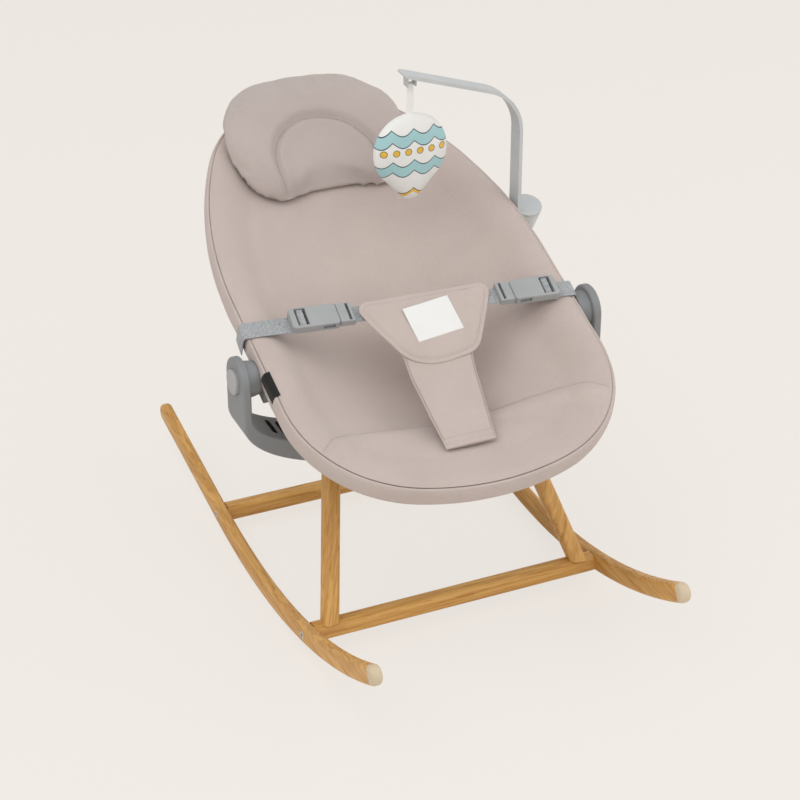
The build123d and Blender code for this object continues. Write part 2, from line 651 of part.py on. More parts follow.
for word, side in SIDES.items():
    bracket_mid = (BRACKET_IN + BRACKET_OUT) / 2
    with BuildPart() as pivot_bracket:
        base = seat_plane(BRACKET_BOTTOM, side * bracket_mid)
        block(base, BRACKET_OUT - BRACKET_IN, BRACKET_LENGTH, BRACKET_TOP - BRACKET_BOTTOM)
        fillet(pivot_bracket.faces().sort_by(Axis((0, 0, 0), NORMAL))[0].edges(), BRACKET_EDGE)
        rod(hub_plane(side, BRACKET_OUT), COLLAR_R, DRUM_IN - COLLAR_GAP - BRACKET_OUT)
        rod(hub_plane(side, BRACKET_OUT), JOURNAL_R, JOURNAL_END - BRACKET_OUT)
        clip_x = DRUM_IN + DRUM_FLOOR + CLIP_GAP
        with BuildSketch(hub_plane(side, clip_x)) as groove:
            Circle(JOURNAL_R + RUN_GAP)
            Circle(CLIP_GROOVE_R, mode=Mode.SUBTRACT)
        extrude(groove.sketch, amount=CLIP_THICK, mode=Mode.SUBTRACT)
        rod(hub_plane(side, BORE_END), SHAFT_R + RUN_GAP, JOURNAL_END, Mode.SUBTRACT)
        for direction in (1, -1):
            mouth = Plane(
                origin=seat_point(side * TUBE_X, direction * BRACKET_WEB / 2, TUBE_N),
                x_dir=(1, 0, 0),
                z_dir=ALONG * direction,
            )
            rod(mouth, TUBE_R + THREAD_GAP, BRACKET_LENGTH, Mode.SUBTRACT)
            rod(rivet_plane(side, direction * RIVET_S), RIVET_R + THREAD_GAP, RIVET_LENGTH, Mode.SUBTRACT)
    save(pivot_bracket, f"pivot_bracket_{word}")

    with BuildPart() as pivot_clip:
        with BuildSketch(hub_plane(side, clip_x)) as clip_ring:
            Circle(CLIP_R)
            Circle(CLIP_GROOVE_R + THREAD_GAP, mode=Mode.SUBTRACT)
            with Locations((0, -CLIP_R)):
                Rectangle(CLIP_GROOVE_R, CLIP_R, mode=Mode.SUBTRACT)
        extrude(clip_ring.sketch, amount=CLIP_THICK)
    save(pivot_clip, f"pivot_clip_{word}")

    with BuildPart() as lock_disc:
        with BuildSketch(hub_plane(side, LOCK_IN)) as big_end:
            Circle(LOCK_BIG_R)
        with BuildSketch(hub_plane(side, LOCK_IN + LOCK_THICK)) as small_end:
            Circle(LOCK_SMALL_R)
        loft([big_end.sketch, small_end.sketch])
        rod(hub_plane(side, SHAFT_END), SHAFT_R, LOCK_IN - SHAFT_END)
        rod(hub_plane(side, SHAFT_END), SPRING_BORE_R, SPRING_OUT + SPRING_WIRE_R - SHAFT_END, Mode.SUBTRACT)
    save(lock_disc, f"lock_disc_{word}")

    with BuildPart() as lock_ring:
        rod(hub_plane(side, LOCK_IN + LOCK_GAP), BUTTON_R + BUTTON_GAP - THREAD_GAP, LOCK_THICK)
        with BuildSketch(hub_plane(side, LOCK_IN)) as big_way:
            Circle(LOCK_BIG_R + LOCK_GAP)
        with BuildSketch(hub_plane(side, LOCK_IN + 2 * LOCK_THICK)) as small_way:
            Circle(2 * LOCK_SMALL_R - LOCK_BIG_R + LOCK_GAP)
        loft([big_way.sketch, small_way.sketch], mode=Mode.SUBTRACT)
    save(lock_ring, f"lock_ring_{word}")

    with BuildPart() as button:
        rod(hub_plane(side, BUTTON_IN), BUTTON_R, BUTTON_OUT - BUTTON_IN)
        fillet(button.faces().sort_by(Axis.X)[-1 if side > 0 else 0].edges(), BUTTON_EDGE)
        rod(hub_plane(side, LOCK_IN + LOCK_THICK + THREAD_GAP), BUTTON_STEM_R, BUTTON_IN - LOCK_IN - LOCK_THICK)
    save(button, f"button_{word}")

    with BuildPart() as button_spring:
        coil_start = (side * SPRING_IN, HUB_Y, HUB_Z)
        coil_length = SPRING_OUT - SPRING_IN
        with BuildLine() as coil:
            Helix(coil_length / SPRING_TURNS, coil_length, SPRING_R, center=coil_start, direction=(side, 0, 0))
        with BuildSketch(Plane(origin=coil.line @ 0, z_dir=coil.line % 0)) as wire:
            Circle(SPRING_WIRE_R)
        sweep(wire.sketch, path=coil.line, is_frenet=True)
    save(button_spring, f"button_spring_{word}")


# Cover
def pad_blanket(stations, edge_n, thick):
    """Sagging sheet across the seat: at each station it hangs as a parabola between its edges."""
    strips = []
    for station in stations:
        s, middle = station[:2]
        edge = station[2] if len(station) > 2 else edge_n
        with BuildSketch(section_plane(s)) as strip:
            with BuildLine():
                Bezier((-PAD_SPAN, edge), (0, 2 * middle - edge), (PAD_SPAN, edge))
                Line((PAD_SPAN, edge), (PAD_SPAN, edge - thick))
                Bezier((PAD_SPAN, edge - thick), (0, 2 * middle - edge - thick), (-PAD_SPAN, edge - thick))
                Line((-PAD_SPAN, edge - thick), (-PAD_SPAN, edge))
            make_face()
        strips.append(strip.sketch)
    loft(strips, ruled=True)


PAD_INSET = BAND_WIDTH + SOFT_GAP
PAD_FLOOR_N = -130.0
TUBE_AT_HOLDER_R = FLANK_R - TUBE_INSET
HOLDER_TURN = asin((HOLDER_S - HEAD_START) / TUBE_AT_HOLDER_R)
HOLDER_TUBE_X = SEAT_HALF_WIDTH - FLANK_R + TUBE_AT_HOLDER_R * cos(HOLDER_TURN)


def holder_plane(n):
    """Plane of the toy holder's clip: local x points out of the seat, local y along the tube."""
    outwards = Vector(cos(HOLDER_TURN), 0, 0) + ALONG * sin(HOLDER_TURN)
    return Plane(origin=seat_point(HOLDER_TUBE_X, HOLDER_S, n), x_dir=outwards, z_dir=NORMAL)


CLIP_BOTTOM_N = -46.0
CLIP_TOP_N = -5.8

with BuildPart() as side_band:
    extrude(outline_face(seat_plane(-BAND_HEIGHT), 0, BAND_WIDTH), amount=BAND_HEIGHT)
    level = Axis((0, 0, 0), NORMAL)
    fillet(side_band.faces().sort_by(level)[-1].outer_wire().edges(), BAND_EDGE)
    fillet(side_band.faces().sort_by(level)[0].outer_wire().edges(), BAND_EDGE)
    channel = TUBE_R + SOFT_GAP
    channel_face = outline_face(seat_plane(TUBE_N - channel), TUBE_INSET - channel, TUBE_INSET + channel)
    extrude(channel_face, amount=2 * channel, mode=Mode.SUBTRACT)
    for side in SIDES.values():
        cut_width = BRACKET_OUT + 2 * SOFT_GAP - BRACKET_IN + BAND_WIDTH
        cut_mid = side * (BRACKET_OUT + 2 * SOFT_GAP - cut_width / 2)
        cut_height = BAND_HEIGHT + BRACKET_TOP + SOFT_GAP
        cut_base = seat_plane(-BAND_HEIGHT, cut_mid)
        block(cut_base, cut_width, BRACKET_LENGTH + 4 * SOFT_GAP, cut_height, Mode.SUBTRACT)
        rod(hub_plane(side, BRACKET_OUT), COLLAR_R + 2 * SOFT_GAP, BAND_WIDTH, Mode.SUBTRACT)
    clip_size = HOLDER_CLIP + 4 * SOFT_GAP
    clip_cut = holder_plane(CLIP_BOTTOM_N)
    block(clip_cut, 2 * (TUBE_R + HOLDER_CLIP_WALL + 2 * SOFT_GAP), clip_size,
          CLIP_TOP_N + SOFT_GAP - CLIP_BOTTOM_N, Mode.SUBTRACT)
save(side_band, "side_band")

with BuildPart() as seat_pad:
    pad_blanket(SEAT_STATIONS, PAD_EDGE_N, PAD_THICK)
    extrude(outline_face(seat_plane(PAD_FLOOR_N), PAD_INSET), amount=-PAD_FLOOR_N, mode=Mode.INTERSECT)
save(seat_pad, "seat_pad")

with BuildPart() as leg_rest_pad:
    pad_blanket(LEG_STATIONS, PAD_EDGE_N, LEG_PAD_THICK)
    extrude(outline_face(seat_plane(PAD_FLOOR_N), PAD_INSET), amount=-PAD_FLOOR_N, mode=Mode.INTERSECT)
save(leg_rest_pad, "leg_rest_pad")

PANEL_STATIONS = [(s, middle - LEG_PAD_THICK - SOFT_GAP) for s, middle in reversed(LEG_STATIONS[1:])]
PANEL_STATIONS += [(s, middle - PAD_THICK - SOFT_GAP) for s, middle in SEAT_STATIONS]

with BuildPart() as under_panel:
    pad_blanket(PANEL_STATIONS, PAD_EDGE_N - LEG_PAD_THICK - SOFT_GAP, PANEL_THICK)
    extrude(outline_face(seat_plane(PAD_FLOOR_N), PAD_INSET), amount=-PAD_FLOOR_N, mode=Mode.INTERSECT)
save(under_panel, "under_panel")

with BuildPart() as head_pillow:
    pad_blanket([(s, n + PILLOW_THICK, e + PILLOW_THICK) for s, n, e in PILLOW_STATIONS], 0, PILLOW_THICK)
    with BuildSketch(seat_plane(PAD_FLOOR_N)) as pillow_plan:
        with BuildLine():
            right_side = [(0, PILLOW_TOP_S), *PILLOW_HALF, (0, PILLOW_BOTTOM_S)]
            left_side = [(-x, s) for x, s in reversed(PILLOW_HALF)]
            Spline(*right_side, *left_side, periodic=True)
        make_face()
    extrude(pillow_plan.sketch, amount=-2 * PAD_FLOOR_N, mode=Mode.INTERSECT)
save(head_pillow, "head_pillow")

# Harness
HARNESS_TURN = radians(HARNESS_ANGLE)
HARNESS_U = Vector(cos(HARNESS_TURN), 0, 0) + ALONG * sin(HARNESS_TURN)
HARNESS_V = NORMAL.cross(HARNESS_U)
MOUTHS = {"left": LEFT_MOUTH_U, "right": RIGHT_MOUTH_U}


def harness_point(u, n):
    """Point on the middle line of the webbing."""
    return seat_point(0, HARNESS_S, n) + HARNESS_U * u


def buckle_plane(word, x, n):
    """Plane of a buckle: local x runs from the tail towards the mouth, zero at the mouth."""
    inwards = -SIDES[word]
    origin = harness_point(MOUTHS[word] + inwards * x, n)
    return Plane(origin=origin, x_dir=HARNESS_U * inwards, z_dir=NORMAL)


LADDER_MID = -BUCKLE_LENGTH + LADDER_START + LADDER_SLOT + LADDER_BAR / 2
LADDER_SPAN = LADDER_BAR + 2 * LADDER_SLOT
LADDER_OPEN = WEB_WIDTH + 2.0
BUCKLE_MID_N = BUCKLE_BASE_N + BUCKLE_HEIGHT / 2
CAVITY_WIDTH = BUCKLE_WIDTH - 2 * BUCKLE_WALL
CAVITY_HEIGHT = BUCKLE_HEIGHT - 2 * BUCKLE_WALL
LADDER_BAR_HEIGHT = CAVITY_HEIGHT

for word, side in SIDES.items():
    with BuildPart() as strap:
        web_plane = Plane(origin=harness_point(0, 0), x_dir=HARNESS_U, z_dir=-HARNESS_V)
        strap_end = MOUTHS[word] + side * (BUCKLE_LENGTH + LADDER_MID + LADDER_BAR)
        with BuildSketch(web_plane):
            with BuildLine():
                FilletPolyline(
                    (side * WEB_DROP_U, WEB_DROP_N[word]),
                    (side * WEB_DROP_U, WEB_N),
                    (strap_end, WEB_N),
                    radius=WEB_BEND_R,
                )
                offset(amount=WEB_THICK / 2, side=Side.BOTH, mode=Mode.REPLACE)
            make_face()
        extrude(amount=WEB_WIDTH / 2, both=True)
    save(strap, f"strap_{word}")

    with BuildPart() as buckle_female:
        with BuildSketch(buckle_plane(word, -BUCKLE_LENGTH / 2, BUCKLE_BASE_N)) as shell_plan:
            RectangleRounded(BUCKLE_LENGTH, BUCKLE_WIDTH, 2 * BUCKLE_EDGE)
        extrude(shell_plan.sketch, amount=BUCKLE_HEIGHT)
        level = Axis((0, 0, 0), NORMAL)
        fillet(buckle_female.faces().sort_by(level)[-1].edges(), BUCKLE_EDGE)
        block(buckle_plane(word, -BUCKLE_MOUTH / 2, BUCKLE_BASE_N + BUCKLE_WALL),
              BUCKLE_MOUTH, CAVITY_WIDTH, CAVITY_HEIGHT, Mode.SUBTRACT)
        block(buckle_plane(word, -WINDOW_START - WINDOW_LENGTH / 2, BUCKLE_BASE_N + BUCKLE_WALL),
              WINDOW_LENGTH, 2 * BUCKLE_WIDTH, CAVITY_HEIGHT, Mode.SUBTRACT)
        for step in (-1, 1):
            slot_x = LADDER_MID + step * (LADDER_BAR + LADDER_SLOT) / 2
            block(buckle_plane(word, slot_x, 0), LADDER_SLOT, LADDER_OPEN, 2 * BUCKLE_HEIGHT, Mode.SUBTRACT)
        bar_top = BUCKLE_MID_N + LADDER_BAR_HEIGHT / 2
        bar_bottom = BUCKLE_MID_N - LADDER_BAR_HEIGHT / 2
        block(buckle_plane(word, LADDER_MID, bar_top), LADDER_SPAN, LADDER_OPEN, BUCKLE_HEIGHT, Mode.SUBTRACT)
        block(buckle_plane(word, LADDER_MID, bar_bottom), LADDER_SPAN, LADDER_OPEN, -BUCKLE_HEIGHT, Mode.SUBTRACT)
    save(buckle_female, f"buckle_female_{word}")

    with BuildPart() as strap_loop:
        loop_in = LADDER_BAR + 2 * SOFT_GAP
        loop_height = LADDER_BAR_HEIGHT + 2 * SOFT_GAP
        loop_low = BUCKLE_MID_N - loop_height / 2
        block(buckle_plane(word, LADDER_MID, loop_low - LOOP_THICK),
              loop_in + 2 * LOOP_THICK, WEB_WIDTH, loop_height + 2 * LOOP_THICK)
        block(buckle_plane(word, LADDER_MID, loop_low), loop_in, 2 * WEB_WIDTH, loop_height, Mode.SUBTRACT)
    save(strap_loop, f"strap_loop_{word}")

    with BuildPart() as buckle_male:
        base_low = BUCKLE_BASE_N + BUCKLE_WALL / 2
        base_high = BUCKLE_HEIGHT - BUCKLE_WALL
        base_mid = MOUTH_GAP + MALE_BASE / 2
        block(buckle_plane(word, base_mid, base_low), MALE_BASE, BUCKLE_WIDTH - BUCKLE_WALL, base_high)
        level = Axis((0, 0, 0), NORMAL)
        fillet(buckle_male.faces().sort_by(level)[-1].edges(), BUCKLE_EDGE / 2)
        prong_mid = (MOUTH_GAP + MALE_BASE / 4 - PRONG_LENGTH) / 2
        prong_length = PRONG_LENGTH + MOUTH_GAP + MALE_BASE / 4
        prong_v = CAVITY_WIDTH / 2 - MOUTH_GAP - PRONG_WIDTH / 2
        prong_low = BUCKLE_MID_N - PRONG_THICK / 2
        for v, width in ((-prong_v, PRONG_WIDTH), (0, GUIDE_WIDTH), (prong_v, PRONG_WIDTH)):
            prong_base = buckle_plane(word, prong_mid, prong_low)
            prong_base.origin = prong_base.origin + prong_base.y_dir * v
            block(prong_base, prong_length, width, PRONG_THICK)
        recess_start = MOUTH_GAP + MALE_BASE - MALE_SLOT - MALE_BAR
        recess_mid = recess_start + MALE_BASE / 2
        recess_top = TAB_N + WEB_THICK / 2 + SOFT_GAP
        block(buckle_plane(word, recess_start + MALE_SLOT / 2, 0),
              MALE_SLOT, LADDER_OPEN, 2 * BUCKLE_HEIGHT, Mode.SUBTRACT)
        block(buckle_plane(word, recess_mid, recess_top), MALE_BASE, LADDER_OPEN, -BUCKLE_HEIGHT, Mode.SUBTRACT)
    save(buckle_male, f"buckle_male_{word}")

    with BuildPart() as tab:
        tab_start = recess_start + SOFT_GAP
        block(buckle_plane(word, tab_start + TAB_LENGTH / 2, TAB_N - WEB_THICK / 2), TAB_LENGTH, WEB_WIDTH, WEB_THICK)
    save(tab, f"tab_{word}")

# Waist flap with its label, crotch strap and side tag
FLAP_TURN = radians(FLAP_TILT)
FLAP_NORMAL = NORMAL * cos(FLAP_TURN) - ALONG * sin(FLAP_TURN)


def flap_plane(height):
    """Plane parallel to the flap, at a height over its underside."""
    origin = seat_point(0, FLAP_S, FLAP_N) + FLAP_NORMAL * height
    return Plane(origin=origin, x_dir=(1, 0, 0), z_dir=FLAP_NORMAL)


with BuildPart() as waist_flap:
    with BuildSketch(flap_plane(0)):
        with BuildLine():
            FilletPolyline(*FLAP_POINTS, radius=FLAP_CORNER, close=True)
        make_face()
    extrude(amount=FLAP_THICK)
save(waist_flap, "waist_flap")

with BuildPart() as flap_label:
    with BuildSketch(flap_plane(FLAP_THICK + THREAD_GAP)):
        with Locations(LABEL_AT):
            Rectangle(*LABEL_SIZE, rotation=LABEL_TURN)
    extrude(amount=LABEL_THICK)
save(flap_label, "flap_label")


def under_flap(s):
    """Height n of the middle of the crotch strap where it lies under the flap."""
    slope = sin(FLAP_TURN) / cos(FLAP_TURN)
    return FLAP_N + slope * (s - FLAP_S) - (SOFT_GAP + CROTCH_THICK / 2) / cos(FLAP_TURN)


with BuildPart() as crotch_strap:
    with BuildSketch(Plane(origin=seat_point(0, 0, 0), x_dir=ALONG, z_dir=(1, 0, 0))):
        with BuildLine():
            Polyline(
                (CROTCH_TOP_S, under_flap(CROTCH_TOP_S)),
                (CROTCH_BEND_S, under_flap(CROTCH_BEND_S)),
                (CROTCH_HEM_S, CROTCH_HEM_N),
            )
            offset(amount=CROTCH_THICK / 2, side=Side.BOTH, mode=Mode.REPLACE)
        make_face()
    extrude(amount=SEAT_HALF_WIDTH, both=True)
    with BuildSketch(seat_plane(PAD_FLOOR_N)) as strap_plan:
        with BuildLine():
            Polyline(
                (CROTCH_TOP_X - CROTCH_TOP_HALF, CROTCH_TOP_S + CROTCH_THICK),
                (CROTCH_TOP_X + CROTCH_TOP_HALF, CROTCH_TOP_S + CROTCH_THICK),
                (CROTCH_HEM_X + CROTCH_HEM_HALF, CROTCH_HEM_S - CROTCH_THICK),
                (CROTCH_HEM_X - CROTCH_HEM_HALF, CROTCH_HEM_S - CROTCH_THICK),
                close=True,
            )
        make_face()
    extrude(strap_plan.sketch, amount=-2 * PAD_FLOOR_N, mode=Mode.INTERSECT)
save(crotch_strap, "crotch_strap")

with BuildPart() as side_tag:
    tag_origin = seat_point(-SEAT_HALF_WIDTH - THREAD_GAP, TAG_S, TAG_N)
    with BuildSketch(Plane(origin=tag_origin, x_dir=-ALONG, z_dir=(-1, 0, 0))):
        RectangleRounded(*TAG_SIZE, TAG_THICK)
    extrude(amount=TAG_THICK)
save(side_tag, "side_tag")

# Toy holder on the right side of the frame, the swinging toy bar and its toy
HOLDER_FOOT_N = HOLDER_TOP_N - HOLDER_HEIGHT
NECK_TOP_N = -BAND_HEIGHT - 3.0
TURRET_N = HOLDER_TOP_N + TURRET_GAP
TURRET_TOP_N = TURRET_N + TURRET_THICK


def turret_plane(n):
    """Plane square to the toy bar's swing axis."""
    return seat_plane(n, HOLDER_X, HOLDER_S)


with BuildPart() as toy_holder:
    with BuildSketch(turret_plane(HOLDER_FOOT_N)) as cup_foot:
        Circle(HOLDER_FOOT_R)
    with BuildSketch(turret_plane(HOLDER_TOP_N)) as cup_top:
        Circle(HOLDER_R)
    loft([cup_foot.sketch, cup_top.sketch])
    clip_width = 2 * (TUBE_R + HOLDER_CLIP_WALL)
    block(holder_plane(CLIP_BOTTOM_N), clip_width, HOLDER_CLIP, CLIP_TOP_N - CLIP_BOTTOM_N)
    neck_length = HOLDER_X - HOLDER_TUBE_X
    neck_plane = holder_plane(CLIP_BOTTOM_N)
    neck_plane.origin = neck_plane.origin + neck_plane.x_dir * (neck_length / 2)
    block(neck_plane, neck_length, 2 * HOLDER_NECK, NECK_TOP_N - CLIP_BOTTOM_N)
    tube_way = holder_plane(TUBE_N)
    tube_start = Plane(origin=tube_way.origin - tube_way.y_dir * HOLDER_CLIP, x_dir=tube_way.x_dir, z_dir=tube_way.y_dir)
    rod(tube_start, TUBE_R + SOFT_GAP, 2 * HOLDER_CLIP, Mode.SUBTRACT)
    rod(turret_plane(HOLDER_FOOT_N + HOLDER_FLOOR), HOLDER_BORE_R, HOLDER_HEIGHT, Mode.SUBTRACT)
    rod(turret_plane(HOLDER_FOOT_N), SCREW_R + HOLE_GAP, HOLDER_FLOOR, Mode.SUBTRACT)
save(toy_holder, "toy_holder")

BAR_Y = turret_plane(TURRET_N).origin.Y - BAR_BACK
BAR_PLANE = Plane.XZ.offset(-BAR_Y)
BAR_TIP_Z = BAR_BEND_Z + (BAR_X - BAR_TIP_X) * sin(radians(BAR_RISE)) / cos(radians(BAR_RISE))
TOY_ARM_Z = BAR_BEND_Z + (BAR_X - TOY_X) * sin(radians(BAR_RISE)) / cos(radians(BAR_RISE))
TOY_PIN_Z = TOY_ARM_Z - BAR_THICK - TOY_LUG
LUG_GAP = RIBBON_WIDTH / 2 + SOFT_GAP
JOURNAL_FOOT_N = HOLDER_FOOT_N + HOLDER_FLOOR + TURRET_GAP

with BuildPart() as toy_bar:
    with BuildSketch(BAR_PLANE):
        with BuildLine():
            FilletPolyline(
                (BAR_X, seat_point(0, HOLDER_S, TURRET_N).Z - HOLDER_R),
                (BAR_X, BAR_BEND_Z),
                (BAR_TIP_X, BAR_TIP_Z),
                radius=BAR_BEND_R,
            )
            offset(amount=BAR_THICK / 2, side=Side.BOTH, mode=Mode.REPLACE)
        make_face()
    extrude(amount=BAR_WIDTH / 2, both=True)
    split(bisect_by=turret_plane(TURRET_N), keep=Keep.TOP)
    rod(turret_plane(TURRET_N), HOLDER_R, TURRET_THICK)
    rod(turret_plane(TURRET_N), HOLDER_BORE_R - RUN_GAP, JOURNAL_FOOT_N - TURRET_N)
    for side in SIDES.values():
        lug_mid = TOY_X + side * (LUG_GAP + TOY_LUG_THICK / 2)
        block(Plane.XY.move(Location((lug_mid, BAR_Y, TOY_PIN_Z - TOY_LUG / 2))),
              TOY_LUG_THICK, 2 * TOY_LUG, TOY_ARM_Z - TOY_PIN_Z + TOY_LUG / 2)
    pin_way = Plane(origin=(TOY_X - BAR_WIDTH, BAR_Y, TOY_PIN_Z), x_dir=(0, 1, 0), z_dir=(1, 0, 0))
    rod(pin_way, TOY_PIN_R + THREAD_GAP, 2 * BAR_WIDTH, Mode.SUBTRACT)
    rod(turret_plane(JOURNAL_FOOT_N), SCREW_R + THREAD_GAP, LEG_SCREW_LENGTH, Mode.SUBTRACT)
save(toy_bar, "toy_bar")

with BuildPart() as turret_screw:
    rod(turret_plane(HOLDER_FOOT_N - TURRET_GAP), SCREW_HEAD_R, -SCREW_HEAD_HEIGHT)
    rod(turret_plane(HOLDER_FOOT_N - TURRET_GAP), SCREW_R, LEG_SCREW_LENGTH)
save(turret_screw, "turret_screw")

PIN_HALF = LUG_GAP + TOY_LUG_THICK

with BuildPart() as toy_pin:
    pin_start = Plane(origin=(TOY_X - PIN_HALF, BAR_Y, TOY_PIN_Z), x_dir=(0, 1, 0), z_dir=(1, 0, 0))
    rod(pin_start, TOY_PIN_R, 2 * PIN_HALF)
save(toy_pin, "toy_pin")

RIBBON_FOOT_Z = TOY_PIN_Z - RIBBON_LENGTH
TOY_TOP_Z = RIBBON_FOOT_Z + RIBBON_TUCK

with BuildPart() as toy_ribbon:
    loop_r = TOY_PIN_R + RIBBON_THICK + RUN_GAP
    ribbon_start = Plane(origin=(TOY_X - RIBBON_WIDTH / 2, BAR_Y, TOY_PIN_Z), x_dir=(0, 1, 0), z_dir=(1, 0, 0))
    rod(ribbon_start, loop_r, RIBBON_WIDTH)
    block(Plane.XY.move(Location((TOY_X, BAR_Y, RIBBON_FOOT_Z))), RIBBON_WIDTH, RIBBON_THICK, RIBBON_LENGTH)
    rod(ribbon_start, TOY_PIN_R + RUN_GAP, RIBBON_WIDTH, Mode.SUBTRACT)
save(toy_ribbon, "toy_ribbon")

with BuildPart() as toy_plush:
    with BuildSketch(BAR_PLANE):
        with Locations((TOY_X, TOY_TOP_Z - TOY_WIDTH / 2)):
            Circle(TOY_WIDTH / 2)
        with Locations((TOY_X, TOY_TOP_Z - TOY_HEIGHT + TOY_FOOT_R)):
            Circle(TOY_FOOT_R)
        make_hull()
    extrude(amount=TOY_THICK / 2, both=True)
    fillet(toy_plush.edges(), TOY_EDGE)
    ribbon_slot = Plane.XY.move(Location((TOY_X, BAR_Y, RIBBON_FOOT_Z - SOFT_GAP)))
    block(ribbon_slot, RIBBON_WIDTH + 2 * SOFT_GAP, RIBBON_THICK + 2 * SOFT_GAP, RIBBON_LENGTH, Mode.SUBTRACT)
save(toy_plush, "toy_plush")
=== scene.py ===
"""Looks of a wooden rocker bouncer seat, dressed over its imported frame."""

import json
import logging
import math
from dataclasses import dataclass, field
from enum import Enum
from typing import Iterable, Iterator, Sequence

import bmesh
import bpy
import numpy as np
from mathutils import Matrix, Vector, noise

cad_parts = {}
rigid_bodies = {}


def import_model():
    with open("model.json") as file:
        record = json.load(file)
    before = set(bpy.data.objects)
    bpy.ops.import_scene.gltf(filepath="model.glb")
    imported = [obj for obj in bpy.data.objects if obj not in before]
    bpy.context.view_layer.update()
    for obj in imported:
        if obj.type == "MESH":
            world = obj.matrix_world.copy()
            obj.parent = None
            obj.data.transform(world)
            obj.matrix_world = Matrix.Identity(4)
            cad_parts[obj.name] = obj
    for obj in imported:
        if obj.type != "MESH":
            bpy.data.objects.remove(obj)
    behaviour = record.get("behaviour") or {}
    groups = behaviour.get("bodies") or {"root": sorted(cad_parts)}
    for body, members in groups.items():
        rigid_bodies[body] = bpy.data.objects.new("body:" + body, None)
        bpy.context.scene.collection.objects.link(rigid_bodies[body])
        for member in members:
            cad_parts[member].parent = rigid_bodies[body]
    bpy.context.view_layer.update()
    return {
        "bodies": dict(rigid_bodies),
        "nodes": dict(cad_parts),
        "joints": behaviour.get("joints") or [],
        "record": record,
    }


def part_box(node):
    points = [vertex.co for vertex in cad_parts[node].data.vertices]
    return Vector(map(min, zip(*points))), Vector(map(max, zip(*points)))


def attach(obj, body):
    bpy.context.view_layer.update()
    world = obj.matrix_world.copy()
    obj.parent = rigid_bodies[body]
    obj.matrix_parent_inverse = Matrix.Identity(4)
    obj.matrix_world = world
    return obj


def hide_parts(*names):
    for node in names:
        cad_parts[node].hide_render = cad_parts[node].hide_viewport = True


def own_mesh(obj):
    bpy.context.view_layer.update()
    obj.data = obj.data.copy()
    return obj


LOG = logging.getLogger("bouncer")
MM = 0.001
DOUBLES = 1e-6
SPINE_DOUBLES = 2e-5
CREASE = 60.0
STITCH_CREASE = 80.0
WAIST_S = 32.2
WAIST_TURN = math.radians(-5.03)
CLOTH_FRAMES = 20
CLOTH_SETTINGS = {
    "quality": 6,
    "mass": 0.25,
    "tension_stiffness": 25,
    "compression_stiffness": 20,
    "bending_stiffness": 1.5,
    "use_pressure": True,
    "uniform_pressure_force": 4.0,
}

Obj = bpy.types.Object
Socket = bpy.types.NodeSocket
Material = bpy.types.Material
Loop = np.ndarray
Row = list[Vector]
Pair = tuple[float, float]
Colour = tuple[float, float, float, float]


class Body(Enum):
    """Bodies of the frame that the new pieces ride on."""

    SEAT = "seat"
    TOY = "toy"
    BUCKLE_LEFT = "buckle_left"
    BUCKLE_RIGHT = "buckle_right"


class Side(Enum):
    """Left and right of the object, with the sign of X."""

    LEFT = -1
    RIGHT = 1

    @property
    def word(self) -> str:
        """Name of the side as the frame's nodes spell it."""
        return self.name.lower()

    def pick(self, pair: tuple) -> object:
        """This side's one of a left and a right value."""
        return pair[self is Side.RIGHT]


def linear(value: float) -> float:
    """Turn a display value of 0 to 255 into linear light."""
    share = value / 255
    return share / 12.92 if share <= 0.04045 else ((share + 0.055) / 1.055) ** 2.4


def srgb(red: float, green: float, blue: float) -> Colour:
    """Linear colour, with an alpha of 1, of display values of 0 to 255."""
    return (linear(red), linear(green), linear(blue), 1.0)


def smooth_step(low: float, high: float, value: float) -> float:
    """Rise smoothly from 0 at low to 1 at high."""
    share = min(1.0, max(0.0, (value - low) / (high - low)))
    return share * share * (3 - 2 * share)


def bell(away: float, width: float) -> float:
    """Bell curve: 1 in the middle, fading over a width."""
    return math.exp(-((away / width) ** 2))


def ripple(x: float, y: float, size: float, layer: float) -> float:
    """Smooth noise with grains of one size."""
    return noise.noise(Vector((x / size, y / size, layer)))


def spread(first: float, last: float, count: int) -> list[float]:
    """Even values from first to last."""
    return np.linspace(first, last, count).tolist()


def look_up(table: Sequence[Sequence[float]], value: float) -> list[float]:
    """Other columns of a table where its first, rising column has a value."""
    first, *others = np.array(table, dtype=float).T
    return [float(np.interp(value, first, column)) for column in others]


def mirrored(points: Sequence[Pair], stations: Sequence[float], count: int) -> Loop:
    """Closed line from its right half, with even steps.

    Args:
        points: Points of the right half, on the middle line at both ends.
        stations: Distance of each point along the line.
        count: Steps on each half.

    Returns:
        Rows of x and s, down the right half and up the left.
    """
    wanted = np.linspace(0, stations[-1], count + 1)
    columns = np.array(points, dtype=float).T
    right = np.column_stack([np.interp(wanted, stations, column) for column in columns])
    return np.vstack([right, right[1:-1][::-1] * (-1, 1)])


